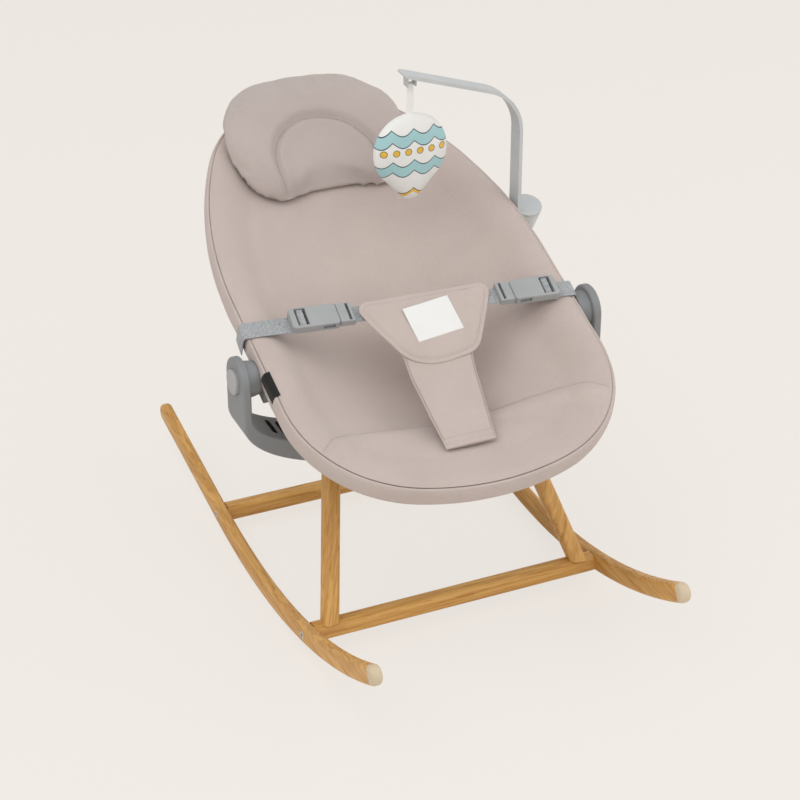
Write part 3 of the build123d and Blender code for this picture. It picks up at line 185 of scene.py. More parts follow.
@dataclass(frozen=True)
class SeatSpace:
    """The seat's own axes in millimetres: x across, s towards the head, n square to the rim."""

    tilt: float = math.radians(20.0)
    hub_y: float = -40.0
    hub_z: float = 336.0
    rim_rise: float = 26.0

    @property
    def along(self) -> Vector:
        """Unit direction towards the head."""
        return Vector((0, math.cos(self.tilt), math.sin(self.tilt)))

    @property
    def normal(self) -> Vector:
        """Unit direction out of the rim plane."""
        return Vector((0, -math.sin(self.tilt), math.cos(self.tilt)))

    def place(self, x: float, s: float, n: float) -> Vector:
        """Point at x, s and n in the object's frame, in metres."""
        hub = Vector((x, self.hub_y, self.hub_z))
        return (hub + self.along * s + self.normal * (n + self.rim_rise)) * MM

    def find(self, point: Vector) -> tuple[float, float, float]:
        """Place of a point of the object's frame on the seat's axes: x, s and n."""
        arm = point / MM - Vector((0, self.hub_y, self.hub_z))
        return point.x / MM, arm.dot(self.along), arm.dot(self.normal) - self.rim_rise


SEAT = SeatSpace()


@dataclass(frozen=True)
class RimOutline:
    """Egg-shaped rim, drawn with arcs as the tube inside it is bent."""

    half_width: float = 213.0
    head_start: float = 97.0
    head_end: float = 442.0
    head_r: float = 170.0
    foot_end: float = -251.0
    foot_r: float = 330.0
    corner_r: float = 165.0
    half_steps: int = 120
    arc_steps: int = 32

    def arcs(self, inset: float) -> list[tuple[float, float, float, float, float]]:
        """Arcs of the right half from the head to the foot.

        Args:
            inset: Distance inside the rim.

        Returns:
            Centre x, centre s, radius, first and last angle of each arc; a straight run has radius 0.
        """
        run = self.head_end - self.head_start - self.head_r
        flank_r = (self.half_width**2 + run**2 - self.head_r**2) / (2 * (self.half_width - self.head_r))
        head = math.atan2(run, flank_r - self.half_width)
        foot = math.acos((self.half_width - self.corner_r) / (self.foot_r - self.corner_r))
        corner_s = self.foot_end + self.foot_r - (self.foot_r - self.corner_r) * math.sin(foot)
        return [
            (0, self.head_end - self.head_r, self.head_r - inset, math.pi / 2, head),
            (self.half_width - flank_r, self.head_start, flank_r - inset, head, 0),
            (self.half_width - inset, self.head_start, 0, self.head_start, corner_s),
            (self.half_width - self.corner_r, corner_s, self.corner_r - inset, 0, -foot),
            (0, self.foot_end + self.foot_r, self.foot_r - inset, -foot, -math.pi / 2),
        ]

    def loop(self, inset: float) -> Loop:
        """Closed line at an inset, with matching points at every inset.

        Args:
            inset: Distance inside the rim.

        Returns:
            Rows of x and s, from the head down the right side and up the left.
        """
        stations, points = [], []
        reach = 0.0
        for (x, s, radius, first, last), (_, _, base_r, *_) in zip(self.arcs(inset), self.arcs(0)):
            length = abs(last - first) * (base_r or 1)
            for step in range(self.arc_steps + 1):
                share = step / self.arc_steps
                value = first + (last - first) * share
                stations.append(reach + length * share)
                if base_r:
                    points.append((x + radius * math.cos(value), s + radius * math.sin(value)))
                else:
                    points.append((x, value))
            reach += length
        return mirrored(points, stations, self.half_steps)


RIM = RimOutline()


@dataclass(frozen=True)
class Dish:
    """Upper surface of the padded cover: a shallow sag that rolls over the rim."""

    stations: tuple[Pair, ...] = (
        (-270, -8), (-200, -10), (-172, -14), (-148, -25), (-125, -45), (-95, -65), (-40, -76),
        (40, -74), (140, -57), (240, -36), (340, -20), (400, -12), (470, -5),
    )
    seam: tuple[Pair, ...] = (
        (0, -102), (50, -104), (105, -107), (140, -113), (162, -126), (185, -148), (200, -168),
    )
    span: float = 190.0
    edge_n: float = -5.0
    blur: int = 19
    crown: float = 1.2
    roll_reach: float = 14.0
    roll_curve: float = 0.026
    roll_fade: Pair = (10, 64)
    strap_press: float = 1.5
    strap_half: float = 15.0
    strap_fade: Pair = (24, 44)
    seam_press: float = 5.0
    seam_half: float = 4.5
    seam_fade: Pair = (6, 26)
    puff_rise: float = 7.5
    puff_away: float = 19.0
    puff_half: float = 17.0
    puff_fade: Pair = (8, 40)

    def middle(self, s: float) -> float:
        """Height of the sag on the middle line."""
        spots = np.linspace(s - self.blur, s + self.blur, 9)
        return float(np.interp(spots, *np.array(self.stations).T).mean())

    def sag(self, x: float, s: float) -> float:
        """Height of the sag away from the rim's roll."""
        middle = self.middle(s)
        return middle + (self.edge_n - middle) * (x / self.span) ** 2

    def leg_seam(self, x: float) -> float:
        """Station of the seam between the seat and the leg rest."""
        return look_up(self.seam, abs(x))[0]

    def height(self, x: float, s: float, inset: float) -> float:
        """Height of the finished surface.

        Args:
            x: Across the seat.
            s: Along the seat.
            inset: Distance inside the rim.

        Returns:
            Height n over the rim plane, with the leg seam and the waist strap pressed in.
        """
        roll = self.crown - self.roll_curve * min(0.0, inset - self.roll_reach) ** 2
        share = smooth_step(*self.roll_fade, inset)
        height = (1 - share) * roll + share * self.sag(x, s)
        strap = (s - WAIST_S - x * math.tan(WAIST_TURN)) / self.strap_half
        height -= self.strap_press * math.exp(-(strap**4)) * (1 - smooth_step(*self.strap_fade, inset))
        away = s - self.leg_seam(x)
        height -= self.seam_press * bell(away, self.seam_half) * smooth_step(*self.seam_fade, inset)
        if away < 0:
            swell = self.puff_rise * bell(away + self.puff_away, self.puff_half)
            height += swell * smooth_step(*self.puff_fade, inset)
        return height


DISH = Dish()


def deselect() -> None:
    """Leave edit mode and select nothing."""
    if bpy.context.object and bpy.context.object.mode != "OBJECT":
        bpy.ops.object.mode_set(mode="OBJECT")
    bpy.ops.object.select_all(action="DESELECT")


def activate(obj: Obj) -> None:
    """Make one object the only selected and the active one.

    Args:
        obj: Object to work on.
    """
    deselect()
    obj.select_set(True)
    bpy.context.view_layer.objects.active = obj


def add_object(name: str, data: bpy.types.ID) -> Obj:
    """Put a mesh, a light or a camera into the scene.

    Args:
        name: Name of the object.
        data: What the object shows.

    Returns:
        The new object.
    """
    obj = bpy.data.objects.new(name, data)
    bpy.context.scene.collection.objects.link(obj)
    return obj


def mend(mesh: bpy.types.Mesh, merge: float = 0.0, fill: bool = False) -> None:
    """Turn a mesh's faces outwards.

    Args:
        mesh: Mesh to change.
        merge: Distance within which points are merged first, in metres; 0 leaves them.
        fill: Whether holes are filled first.
    """
    work = bmesh.new()
    work.from_mesh(mesh)
    if merge:
        bmesh.ops.remove_doubles(work, verts=work.verts, dist=merge)
    if fill:
        bmesh.ops.holes_fill(work, edges=[edge for edge in work.edges if edge.is_boundary], sides=0)
    bmesh.ops.recalc_face_normals(work, faces=work.faces)
    work.to_mesh(mesh)
    work.free()


def mesh_object(name: str, points: Row, faces: Sequence[Sequence[int]], merge: float = DOUBLES) -> Obj:
    """Make an object from points and faces, with faces turned outwards.

    Args:
        name: Name of the piece.
        points: Corner points in metres.
        faces: Corner numbers of each face.
        merge: Distance within which points are merged, in metres.

    Returns:
        The new object at the origin.
    """
    mesh = bpy.data.meshes.new(name)
    mesh.from_pydata([tuple(point) for point in points], [], [tuple(face) for face in faces])
    mend(mesh, merge)
    return add_object(name, mesh)


def skin(name: str, loops: Sequence[Row], closed: bool = False) -> Obj:
    """Join closed loops of equal count into a skin.

    Args:
        name: Name of the piece.
        loops: Loops of points, in order.
        closed: Whether the last loop joins the first.

    Returns:
        The new object.
    """
    count, total = len(loops[0]), len(loops)
    faces = []
    for row in range(total if closed else total - 1):
        here, there = row * count, (row + 1) % total * count
        for column in range(count):
            after = (column + 1) % count
            faces.append((here + column, here + after, there + after, there + column))
    return mesh_object(name, [point for loop in loops for point in loop], faces)


def cushion(name: str, rings: Iterable[tuple[Row, Row]]) -> Obj:
    """Closed padded piece from rings of its two sides.

    Args:
        name: Name of the piece.
        rings: Points of the one and the other side, from the edge to the middle.

    Returns:
        The new object.
    """
    one, other = zip(*rings)
    obj = skin(name, [*other[::-1], *one])
    mend(obj.data, SPINE_DOUBLES, fill=True)
    return obj


def apply_modifier(obj: Obj, kind: str, **values: object) -> None:
    """Add a modifier, set it and apply it.

    Args:
        obj: Object to change.
        kind: Blender's name of the modifier type.
        **values: Settings of the modifier.
    """
    activate(obj)
    modifier = obj.modifiers.new(kind.title(), kind)
    for key, value in values.items():
        setattr(modifier, key, value)
    bpy.ops.object.modifier_apply(modifier=modifier.name)


def shade(obj: Obj, angle: float = 50.0) -> None:
    """Shade smooth, with edges sharper than an angle kept crisp."""
    activate(obj)
    bpy.ops.object.shade_smooth_by_angle(angle=math.radians(angle))


def round_over(obj: Obj) -> None:
    """Subdivide a soft mesh once and shade it smooth."""
    apply_modifier(obj, "SUBSURF", levels=1, render_levels=1)
    shade(obj)


def corners(obj: Obj) -> np.ndarray:
    """Places of an object's mesh points."""
    return np.array([vertex.co for vertex in obj.data.vertices])


def puff(obj: Obj, voxel: float, cap: float) -> None:
    """Swell a closed piece as filled cloth and keep every point within a cap.

    Args:
        obj: Closed mesh, made slightly small.
        voxel: Size of the even mesh that is simulated, in metres.
        cap: Farthest that a point may move, in metres.
    """
    scene = bpy.context.scene
    apply_modifier(obj, "REMESH", mode="VOXEL", voxel_size=voxel)
    rest = corners(obj)
    activate(obj)
    modifier = obj.modifiers.new("Cloth", "CLOTH")
    for key, value in CLOTH_SETTINGS.items():
        setattr(modifier.settings, key, value)
    modifier.settings.effector_weights.gravity = 0.0
    modifier.point_cache.frame_start = 1
    modifier.point_cache.frame_end = CLOTH_FRAMES
    for step in range(1, CLOTH_FRAMES + 1):
        scene.frame_set(step)
    bpy.ops.object.modifier_apply(modifier=modifier.name)
    scene.frame_set(1)
    moved = corners(obj) - rest
    size = np.linalg.norm(moved, axis=1, keepdims=True)
    LOG.info("cloth of %s moved up to %.1f mm", obj.name, float(size.max()) / MM)
    moved *= np.minimum(1.0, cap / np.maximum(size, 1e-9))
    for vertex, place, shift in zip(obj.data.vertices, rest, moved):
        vertex.co = Vector(place + shift)


@dataclass
class Nodes:
    """Small helper around a node tree."""

    tree: bpy.types.NodeTree

    @classmethod
    def of(cls, owner: Material | bpy.types.World) -> "Nodes":
        """Switch on the nodes of a material or a world."""
        owner.use_nodes = True
        return cls(owner.node_tree)

    def link(self, value: object, slot: Socket) -> None:
        """Feed an input from a socket, or set it to a value.

        Args:
            value: Socket or value.
            slot: Input.
        """
        if isinstance(value, Socket):
            self.tree.links.new(value, slot)
        else:
            slot.default_value = value

    def fill(self, node: bpy.types.Node, **values: object) -> bpy.types.Node:
        """Set a node's attributes, or its inputs by their socket names.

        Args:
            node: Node to set.
            **values: Values or sockets; an underscore stands for a space in a socket name.

        Returns:
            The node.
        """
        for key, value in values.items():
            slot = node.inputs.get(key.replace("_", " "))
            if slot is None or hasattr(type(node), key):
                setattr(node, key, value)
            else:
                self.link(value, slot)
        return node

    def add(self, kind: str, **values: object) -> bpy.types.Node:
        """Add a node of one of Blender's types and fill it."""
        return self.fill(self.tree.nodes.new(kind), **values)

    def group(self, name: str, **values: object) -> bpy.types.NodeOutputs:
        """Outputs of a new node that holds a shared group."""
        tree = bpy.data.node_groups[name]
        return self.add("ShaderNodeGroup", node_tree=tree, **values).outputs

    def place(self) -> Socket:
        """Place on the piece, in metres."""
        return self.add("ShaderNodeTexCoord").outputs["Object"]

    def noise(self, place: Socket, **values: object) -> Socket:
        """Value of a noise texture."""
        return self.add("ShaderNodeTexNoise", Vector=place, **values).outputs["Fac"]

    def mapped(self, place: Socket, **values: object) -> Socket:
        """Place that is scaled or turned."""
        return self.add("ShaderNodeMapping", Vector=place, **values).outputs["Vector"]

    def bump(self, height: Socket, strength: float, depth: float) -> Socket:
        """Normal of a height with a depth in metres."""
        node = self.add("ShaderNodeBump", Strength=strength, Distance=depth, Height=height)
        return node.outputs["Normal"]

    def mix(self, share: object, below: object, above: object, **values: object) -> Socket:
        """Mix two colours.

        Args:
            share: Share of the second colour, a socket or a number.
            below: First colour, a socket or a value.
            above: Second colour, a socket or a value.
            **values: Attributes of the node.

        Returns:
            The colour socket.
        """
        node = self.add("ShaderNodeMix", data_type="RGBA", Factor=share, **values)
        self.link(below, node.inputs[6])
        self.link(above, node.inputs[7])
        return node.outputs[2]

    def ramp(self, source: Socket, stops: Sequence[tuple[float, Colour]]) -> Socket:
        """Colour ramp fed by a value.

        Args:
            source: Value between 0 and 1.
            stops: Position and colour of each of the two stops.

        Returns:
            The colour socket.
        """
        node = self.add("ShaderNodeValToRGB", Fac=source)
        for element, (position, colour) in zip(node.color_ramp.elements, stops):
            element.position = position
            element.color = colour
        return node.outputs["Color"]

    def math(self, operation: str, first: object, second: object = 0.0) -> Socket:
        """Math node on sockets or numbers.

        Args:
            operation: Blender's operation name.
            first: Socket or number.
            second: Socket or number.

        Returns:
            The value socket.
        """
        node = self.add("ShaderNodeMath", operation=operation)
        for slot, value in zip(node.inputs, (first, second)):
            self.link(value, slot)
        return node.outputs[0]


def new_group(name: str, inputs: dict[str, object], outputs: Sequence[str]) -> Nodes:
    """Start a shader node group.

    Args:
        name: Name of the group.
        inputs: Default value of each input; a tuple makes a colour or a vector.
        outputs: Names of the outputs; all but Color are numbers.

    Returns:
        A helper on the group.
    """
    tree = bpy.data.node_groups.new(name, "ShaderNodeTree")
    for label, value in inputs.items():
        kind = "Float"
        if isinstance(value, tuple):
            kind = "Color" if len(value) == 4 else "Vector"
        socket = tree.interface.new_socket(label, in_out="INPUT", socket_type=f"NodeSocket{kind}")
        socket.default_value = value
    for label in outputs:
        kind = "Color" if label == "Color" else "Float"
        tree.interface.new_socket(label, in_out="OUTPUT", socket_type=f"NodeSocket{kind}")
    return Nodes(tree)


def weave_group() -> None:
    """Woven cloth: threads that lie in the surface, melange tone and a soft height."""
    nodes = new_group(
        "cloth_weave",
        {
            "Vector": (0.0, 0.0, 0.0),
            "Light": (0.6, 0.5, 0.45, 1.0),
            "Dark": (0.5, 0.4, 0.35, 1.0),
            "Threads": 900.0,
            "Melange": 0.3,
        },
        ("Color", "Height"),
    )
    entry = nodes.add("NodeGroupInput").outputs
    normal = nodes.add("ShaderNodeTexCoord").outputs["Normal"]
    facing = nodes.add("ShaderNodeSeparateXYZ", Vector=normal).outputs
    total = 0.0
    for axis in "XYZ":
        wave = nodes.add("ShaderNodeTexWave", bands_direction=axis, Distortion=1.2, Detail=1.0)
        nodes.fill(wave, Vector=entry["Vector"], Scale=entry["Threads"])
        lying = nodes.math("SUBTRACT", 1.0, nodes.math("MULTIPLY", facing[axis], facing[axis]))
        total = nodes.math("ADD", nodes.math("MULTIPLY", wave.outputs["Fac"], lying), total)
    thread = nodes.math("MULTIPLY", total, 0.5)
    fleck = nodes.noise(entry["Vector"], Scale=420.0, Detail=4.0, Roughness=0.7)
    cloud = nodes.noise(entry["Vector"], Scale=14.0, Detail=3.0, Roughness=0.55)
    tone = nodes.math("ADD", nodes.math("MULTIPLY", thread, 0.5), 0.25)
    for texture, weight in ((fleck, entry["Melange"]), (cloud, 0.35)):
        drift = nodes.math("MULTIPLY", nodes.math("SUBTRACT", texture, 0.5), weight)
        tone = nodes.math("ADD", tone, drift)
    colour = nodes.mix(tone, entry["Dark"], entry["Light"])
    nodes.add("NodeGroupOutput", Color=colour, Height=thread)


def grain_group() -> None:
    """Moulded plastic: spark-eroded grain, faint mottling and handling shine."""
    nodes = new_group(
        "moulded_grain",
        {"Vector": (0.0, 0.0, 0.0), "Base": (0.3, 0.3, 0.3, 1.0), "Grain": 900.0, "Rough": 0.45},
        ("Color", "Roughness", "Height"),
    )
    entry = nodes.add("NodeGroupInput").outputs
    fine = nodes.noise(entry["Vector"], Scale=entry["Grain"], Detail=3.0, Roughness=0.6)
    broad = nodes.noise(entry["Vector"], Scale=22.0, Detail=3.0)
    mottle = nodes.ramp(broad, ((0.3, (0.93, 0.93, 0.93, 1)), (0.7, (1.04, 1.04, 1.04, 1))))
    nodes.add(
        "NodeGroupOutput",
        Color=nodes.mix(1.0, entry["Base"], mottle, blend_type="MULTIPLY"),
        Roughness=nodes.math("ADD", entry["Rough"], nodes.math("MULTIPLY", broad, 0.16)),
        Height=fine,
    )


def timber_group() -> None:
    """Open-grained timber whose growth lines run along the local X axis."""
    nodes = new_group(
        "timber_figure",
        {"Vector": (0.0, 0.0, 0.0), "Pale": (0.5, 0.3, 0.12, 1.0), "Deep": (0.3, 0.16, 0.06, 1.0)},
        ("Color", "Roughness", "Height"),
    )
    entry = nodes.add("NodeGroupInput").outputs
    drawn = nodes.mapped(entry["Vector"], Scale=(1.6, 22.0, 22.0))
    pricked = nodes.mapped(entry["Vector"], Scale=(18.0, 420.0, 420.0))
    rings = nodes.noise(drawn, Scale=2.2, Detail=5.0, Roughness=0.62, Distortion=0.8)
    pore = nodes.math("GREATER_THAN", nodes.noise(pricked, Scale=1.0, Detail=2.0), 0.6)
    bands = nodes.math("FRACT", nodes.math("MULTIPLY", rings, 5.0))
    figure = nodes.math("ABSOLUTE", nodes.math("SUBTRACT", bands, 0.5))
    tone = nodes.math("ADD", nodes.math("MULTIPLY", figure, 1.1), nodes.math("MULTIPLY", rings, 0.5))
    tone = nodes.math("SUBTRACT", tone, nodes.math("MULTIPLY", pore, 0.28))
    nodes.add(
        "NodeGroupOutput",
        Color=nodes.mix(tone, entry["Deep"], entry["Pale"]),
        Roughness=nodes.math("ADD", nodes.math("MULTIPLY", pore, 0.2), 0.42),
        Height=nodes.math("MULTIPLY", pore, -1.0),
    )


@dataclass(frozen=True)
class Coat:
    """Common part of the finishes: a material with one Principled shader."""

    name: str

    def wire(self, nodes: Nodes) -> dict[str, object]:
        """Values or sockets for the shader's inputs."""
        raise NotImplementedError

    def build(self) -> Material:
        """Make the material.

        Returns:
            The material.
        """
        material = bpy.data.materials.new(self.name)
        nodes = Nodes.of(material)
        nodes.fill(nodes.tree.nodes["Principled BSDF"], **self.wire(nodes))
        return material


@dataclass(frozen=True)
class ClothFinish(Coat):
    """Woven or knitted cloth."""

    light: Colour
    dark: Colour
    threads: float = 900.0
    melange: float = 0.3
    sheen: float = 0.25
    relief: float = 0.0003

    def wire(self, nodes: Nodes) -> dict[str, object]:
        """Wire the weave.

        Args:
            nodes: Nodes of the material.

        Returns:
            Values or sockets for the shader's inputs.
        """
        cloth = nodes.group(
            "cloth_weave", Vector=nodes.place(), Light=self.light, Dark=self.dark, Threads=self.threads,
            Melange=self.melange,
        )
        return {
            "Base_Color": cloth["Color"],
            "Roughness": 0.88,
            "Sheen_Weight": self.sheen,
            "Sheen_Roughness": 0.5,
            "Specular_IOR_Level": 0.25,
            "Normal": nodes.bump(cloth["Height"], 0.5, self.relief),
        }


@dataclass(frozen=True)
class PlasticFinish(Coat):
    """Moulded plastic."""

    base: Colour
    rough: float = 0.42
    grain: float = 1100.0
    relief: float = 0.00012

    def wire(self, nodes: Nodes) -> dict[str, object]:
        """Wire the grain.

        Args:
            nodes: Nodes of the material.

        Returns:
            Values or sockets for the shader's inputs.
        """
        place = nodes.place()
        grain = nodes.group("moulded_grain", Vector=place, Base=self.base, Grain=self.grain, Rough=self.rough)
        return {
            "Base_Color": grain["Color"],
            "Roughness": grain["Roughness"],
            "Normal": nodes.bump(grain["Height"], 0.25, self.relief),
        }


@dataclass(frozen=True)
class TimberFinish(Coat):
    """Oiled oak with the grain along one direction."""

    turn: tuple[float, float, float]
    pale: Colour = srgb(222, 174, 98)
    deep: Colour = srgb(174, 120, 50)
    relief: float = 0.0002

    def wire(self, nodes: Nodes) -> dict[str, object]:
        """Wire the figure of the timber.

        Args:
            nodes: Nodes of the material.

        Returns:
            Values or sockets for the shader's inputs.
        """
        place = nodes.mapped(nodes.place(), Rotation=self.turn)
        timber = nodes.group("timber_figure", Vector=place, Pale=self.pale, Deep=self.deep)
        return {
            "Base_Color": timber["Color"],
            "Roughness": timber["Roughness"],
            "Normal": nodes.bump(timber["Height"], 0.3, self.relief),
        }


@dataclass(frozen=True)
class SteelFinish(Coat):
    """Zinc-plated steel with a faint brushed tone."""

    def wire(self, nodes: Nodes) -> dict[str, object]:
        """Wire the streaks.

        Args:
            nodes: Nodes of the material.

        Returns:
            Values or sockets for the shader's inputs.
        """
        streak = nodes.noise(nodes.place(), Scale=260.0, Detail=3.0)
        return {
            "Base_Color": nodes.ramp(streak, ((0.3, (0.45, 0.46, 0.47, 1)), (0.7, (0.62, 0.63, 0.64, 1)))),
            "Metallic": 1.0,
            "Roughness": nodes.math("ADD", nodes.math("MULTIPLY", streak, 0.2), 0.25),
        }


@dataclass(frozen=True)
class PlushFinish(Coat):
    """Printed short plush: scalloped bands, dots and thin lines of a plain design."""

    centre: Pair
    radius: float
    teal: Colour = srgb(170, 212, 216)
    ink: Colour = srgb(58, 62, 70)
    gold: Colour = srgb(240, 192, 62)
    line_half: float = 0.014

    def wire(self, nodes: Nodes) -> dict[str, object]:
        """Wire the print.

        Args:
            nodes: Nodes of the material.

        Returns:
            Values or sockets for the shader's inputs.
        """
        place = nodes.place()
        axes = nodes.add("ShaderNodeSeparateXYZ", Vector=place).outputs
        across, height = (
            nodes.math("DIVIDE", nodes.math("SUBTRACT", axes[axis], middle), self.radius)
            for axis, middle in zip("XZ", self.centre)
        )
        scallop = nodes.math("ABSOLUTE", nodes.math("SINE", nodes.math("MULTIPLY", across, 5.6)))
        level = nodes.math("ADD", height, nodes.math("MULTIPLY", scallop, 0.16))
        light, dark = srgb(252, 252, 250), srgb(232, 231, 228)
        cloth = nodes.group("cloth_weave", Vector=place, Light=light, Dark=dark, Threads=1500.0)
        bands = [(0.36, 0.66, self.teal), (-0.42, -0.14, self.teal), (-1.02, -0.92, self.gold)]
        for line in (0.66, 0.36, -0.14, -0.42, -0.92):
            bands.append((line - self.line_half, line + self.line_half, self.ink))
        colour = cloth["Color"]
        for low, high, paint in bands:
            above, below = nodes.math("GREATER_THAN", level, low), nodes.math("LESS_THAN", level, high)
            colour = nodes.mix(nodes.math("MULTIPLY", above, below), colour, paint)
        spot_x = nodes.math("SUBTRACT", nodes.math("FRACT", nodes.math("MULTIPLY", across, 3.2)), 0.5)
        spot_z = nodes.math("MULTIPLY", nodes.math("SUBTRACT", height, 0.08), 3.2)
        squares = [nodes.math("POWER", nodes.math("ABSOLUTE", spot), 2.0) for spot in (spot_x, spot_z)]
        gap = nodes.math("ADD", *squares)
        for reach, paint in ((0.085, self.ink), (0.06, self.gold)):
            colour = nodes.mix(nodes.math("LESS_THAN", gap, reach), colour, paint)
        return {
            "Base_Color": colour,
            "Roughness": 0.9,
            "Sheen_Weight": 0.3,
            "Normal": nodes.bump(cloth["Height"], 0.6, 0.0004),
        }


class Finish(Enum):
    """Finishes of the object, apart from the toy's print."""

    COVER = ClothFinish("cover_jersey", srgb(209, 195, 188), srgb(174, 159, 153), 1250, 0.5)
    PILLOW = ClothFinish("pillow_jersey", srgb(200, 187, 182), srgb(166, 153, 148), 1250, 0.5)
    LINING = ClothFinish("under_lining", srgb(168, 156, 147), srgb(138, 127, 119), 700, 0.4)
    THREAD = ClothFinish("sewing_thread", srgb(178, 162, 153), srgb(150, 134, 126), 3000, 0.2)
    SEAM = ClothFinish("seam_thread", srgb(160, 144, 136), srgb(132, 117, 109), 3000, 0.2)
    WEBBING = ClothFinish("grey_webbing", srgb(194, 197, 199), srgb(116, 119, 122), 620, 1.6, sheen=0.1)
    LABEL = ClothFinish("white_label", srgb(242, 242, 240), srgb(224, 224, 222), 2400, 0.2, sheen=0.1)
    TAG = ClothFinish("black_tag", srgb(42, 41, 40), srgb(18, 18, 18), 2000, 0.4, sheen=0.1)
    RIBBON = ClothFinish("white_ribbon", srgb(250, 250, 249), srgb(230, 230, 229), 1800, 0.2)
    YOKE = PlasticFinish("yoke_grey", srgb(126, 128, 130))
    LINER = PlasticFinish("liner_grey", srgb(112, 112, 113))
    BUTTON = PlasticFinish("button_grey", srgb(162, 162, 163))
    HUB = PlasticFinish("hub_grey", srgb(120, 120, 122))
    BUCKLE = PlasticFinish("buckle_grey", srgb(158, 160, 161), rough=0.34)
    # Toy bar's own light grey, darkened all over so that it also carries painted shade from its inner face.
    BAR = PlasticFinish("toy_bar_grey", srgb(190, 194, 195), rough=0.36)
    HOLDER = PlasticFinish("holder_grey", srgb(202, 205, 206), rough=0.38)
    CAP = PlasticFinish("runner_cap", srgb(206, 188, 160), rough=0.5)
    TUBE = PlasticFinish("tube_coat", srgb(92, 92, 94), rough=0.4)
    OAK_X = TimberFinish("oak_across", (0, 0, 0))
    OAK_Y = TimberFinish("oak_lengthways", (0, 0, math.radians(-90)))
    OAK_LEG = TimberFinish("oak_upright", (math.radians(30), math.radians(70), 0))
    STEEL = SteelFinish("plated_steel")


@dataclass
class Paint:
    """Finishes as materials, made when they are first asked for."""

    made: dict[Coat, Material] = field(default_factory=dict)

    def __post_init__(self) -> None:
        """Make the node groups that several finishes share."""
        for group in (weave_group, grain_group, timber_group):
            group()

    def on(self, obj: Obj, finish: Finish | Coat) -> None:
        """Give an object one finish all over.

        Args:
            obj: Piece or frame node.
            finish: Finish to use.
        """
        coat = finish.value if isinstance(finish, Finish) else finish
        if coat not in self.made:
            self.made[coat] = coat.build()
        obj.data.materials.clear()
        obj.data.materials.append(self.made[coat])


@dataclass
class Station:
    """One cross section of a strip of cloth, with its half width in millimetres."""

    centre: Vector
    across: Vector
    up: Vector
    half: float


def run_length(stations: Sequence[Station]) -> float:
    """Length of a strip along its middle line, in metres."""
    return sum((after.centre - before.centre).length for before, after in zip(stations, stations[1:]))


STRIP_SHARES = (-1.0, -0.985, -0.9, -0.6, -0.2, 0.2, 0.6, 0.9, 0.985, 1.0)
STRIP_EDGE = 0.99


def strip(name: str, stations: Sequence[Station], thick: float, bulge: float = 0.25) -> Obj:
    """Closed strip of cloth with soft edges.

    Args:
        name: Name of the piece.
        stations: Cross sections in order.
        thick: Thickness in millimetres.
        bulge: Share of the thickness by which the middle stands out.

    Returns:
        The new object.
    """
    levels = [0.5 if abs(share) < STRIP_EDGE else 0.15 for share in STRIP_SHARES]
    profile = list(zip(STRIP_SHARES, levels))
    profile += [(share, -level) for share, level in reversed(profile)]
    loops = []
    for station in stations:
        row = []
        for share, level in profile:
            rise = thick * level * (1 + bulge * (1 - share * share) - bulge)
            row.append(station.centre + (station.across * share * station.half + station.up * rise) * MM)
        loops.append(row)
    obj = skin(name, loops)
    mend(obj.data, fill=True)
    shade(obj, CREASE)
    return obj


def finer(line: Sequence[Vector], step: float = 3.0) -> Row:
    """Points along a line, its end left out.

    Args:
        line: Corners of the line.
        step: Least distance between the points of a long edge.

    Returns:
        The points.
    """
    points = []
    for start, end in zip(line, line[1:]):
        count = max(1, int((end - start).length / step))
        points += [start.lerp(end, index / count) for index in range(count)]
    return points


def along_line(points: Row, step: float) -> list[tuple[Vector, Vector]]:
    """Even places along a line.

    Args:
        points: Corners of the line in metres.
        step: Distance between places in metres.

    Returns:
        Place and direction of each.
    """
    places, carry = [], step / 2
    for start, end in zip(points, points[1:]):
        length = (end - start).length
        if length < 1e-9:
            continue
        heading = (end - start) / length
        while carry < length:
            places.append((start + heading * carry, heading))
            carry += step
        carry -= length
    return places


STITCH_SINK = 0.12
STITCH_POINTS = (
    (-0.5, 0, 0), (-0.3, 0.42, 0), (0.3, 0.42, 0), (0.5, 0, 0),
    (0.3, -0.42, 0), (-0.3, -0.42, 0), (-0.28, 0, 0.5), (0.28, 0, 0.5),
)
STITCH_FACES = (
    (0, 1, 6), (1, 2, 7, 6), (2, 3, 7), (3, 4, 7), (4, 5, 6, 7), (5, 0, 6), (5, 4, 3, 2, 1, 0),
)


def stitches(name: str, lines: Sequence[Row], up: Vector, gauge: Pair, turn: float = 0.0) -> Obj:
    """Row of raised stitches along lines.

    Args:
        name: Name of the piece.
        lines: Lines of corner points in metres.
        up: Direction out of the cloth.
        gauge: Distance between stitches and length of a stitch, in millimetres.
        turn: Turn of each stitch about the cloth's normal, in radians.

    Returns:
        One object that holds all the stitches.
    """
    pitch, long = gauge
    points, faces = [], []
    for place, heading in (spot for line in lines for spot in along_line(line, pitch * MM)):
        heading = Matrix.Rotation(turn, 3, up) @ heading
        aside = up.cross(heading).normalized()
        faces += [[len(points) + corner for corner in face] for face in STITCH_FACES]
        for reach, wide, high in STITCH_POINTS:
            shift = heading * (reach * long) + aside * wide + up * (high - STITCH_SINK)
            points.append(place + shift * MM)
    obj = mesh_object(name, points, faces, merge=0.0)
    shade(obj, STITCH_CREASE)
    return obj


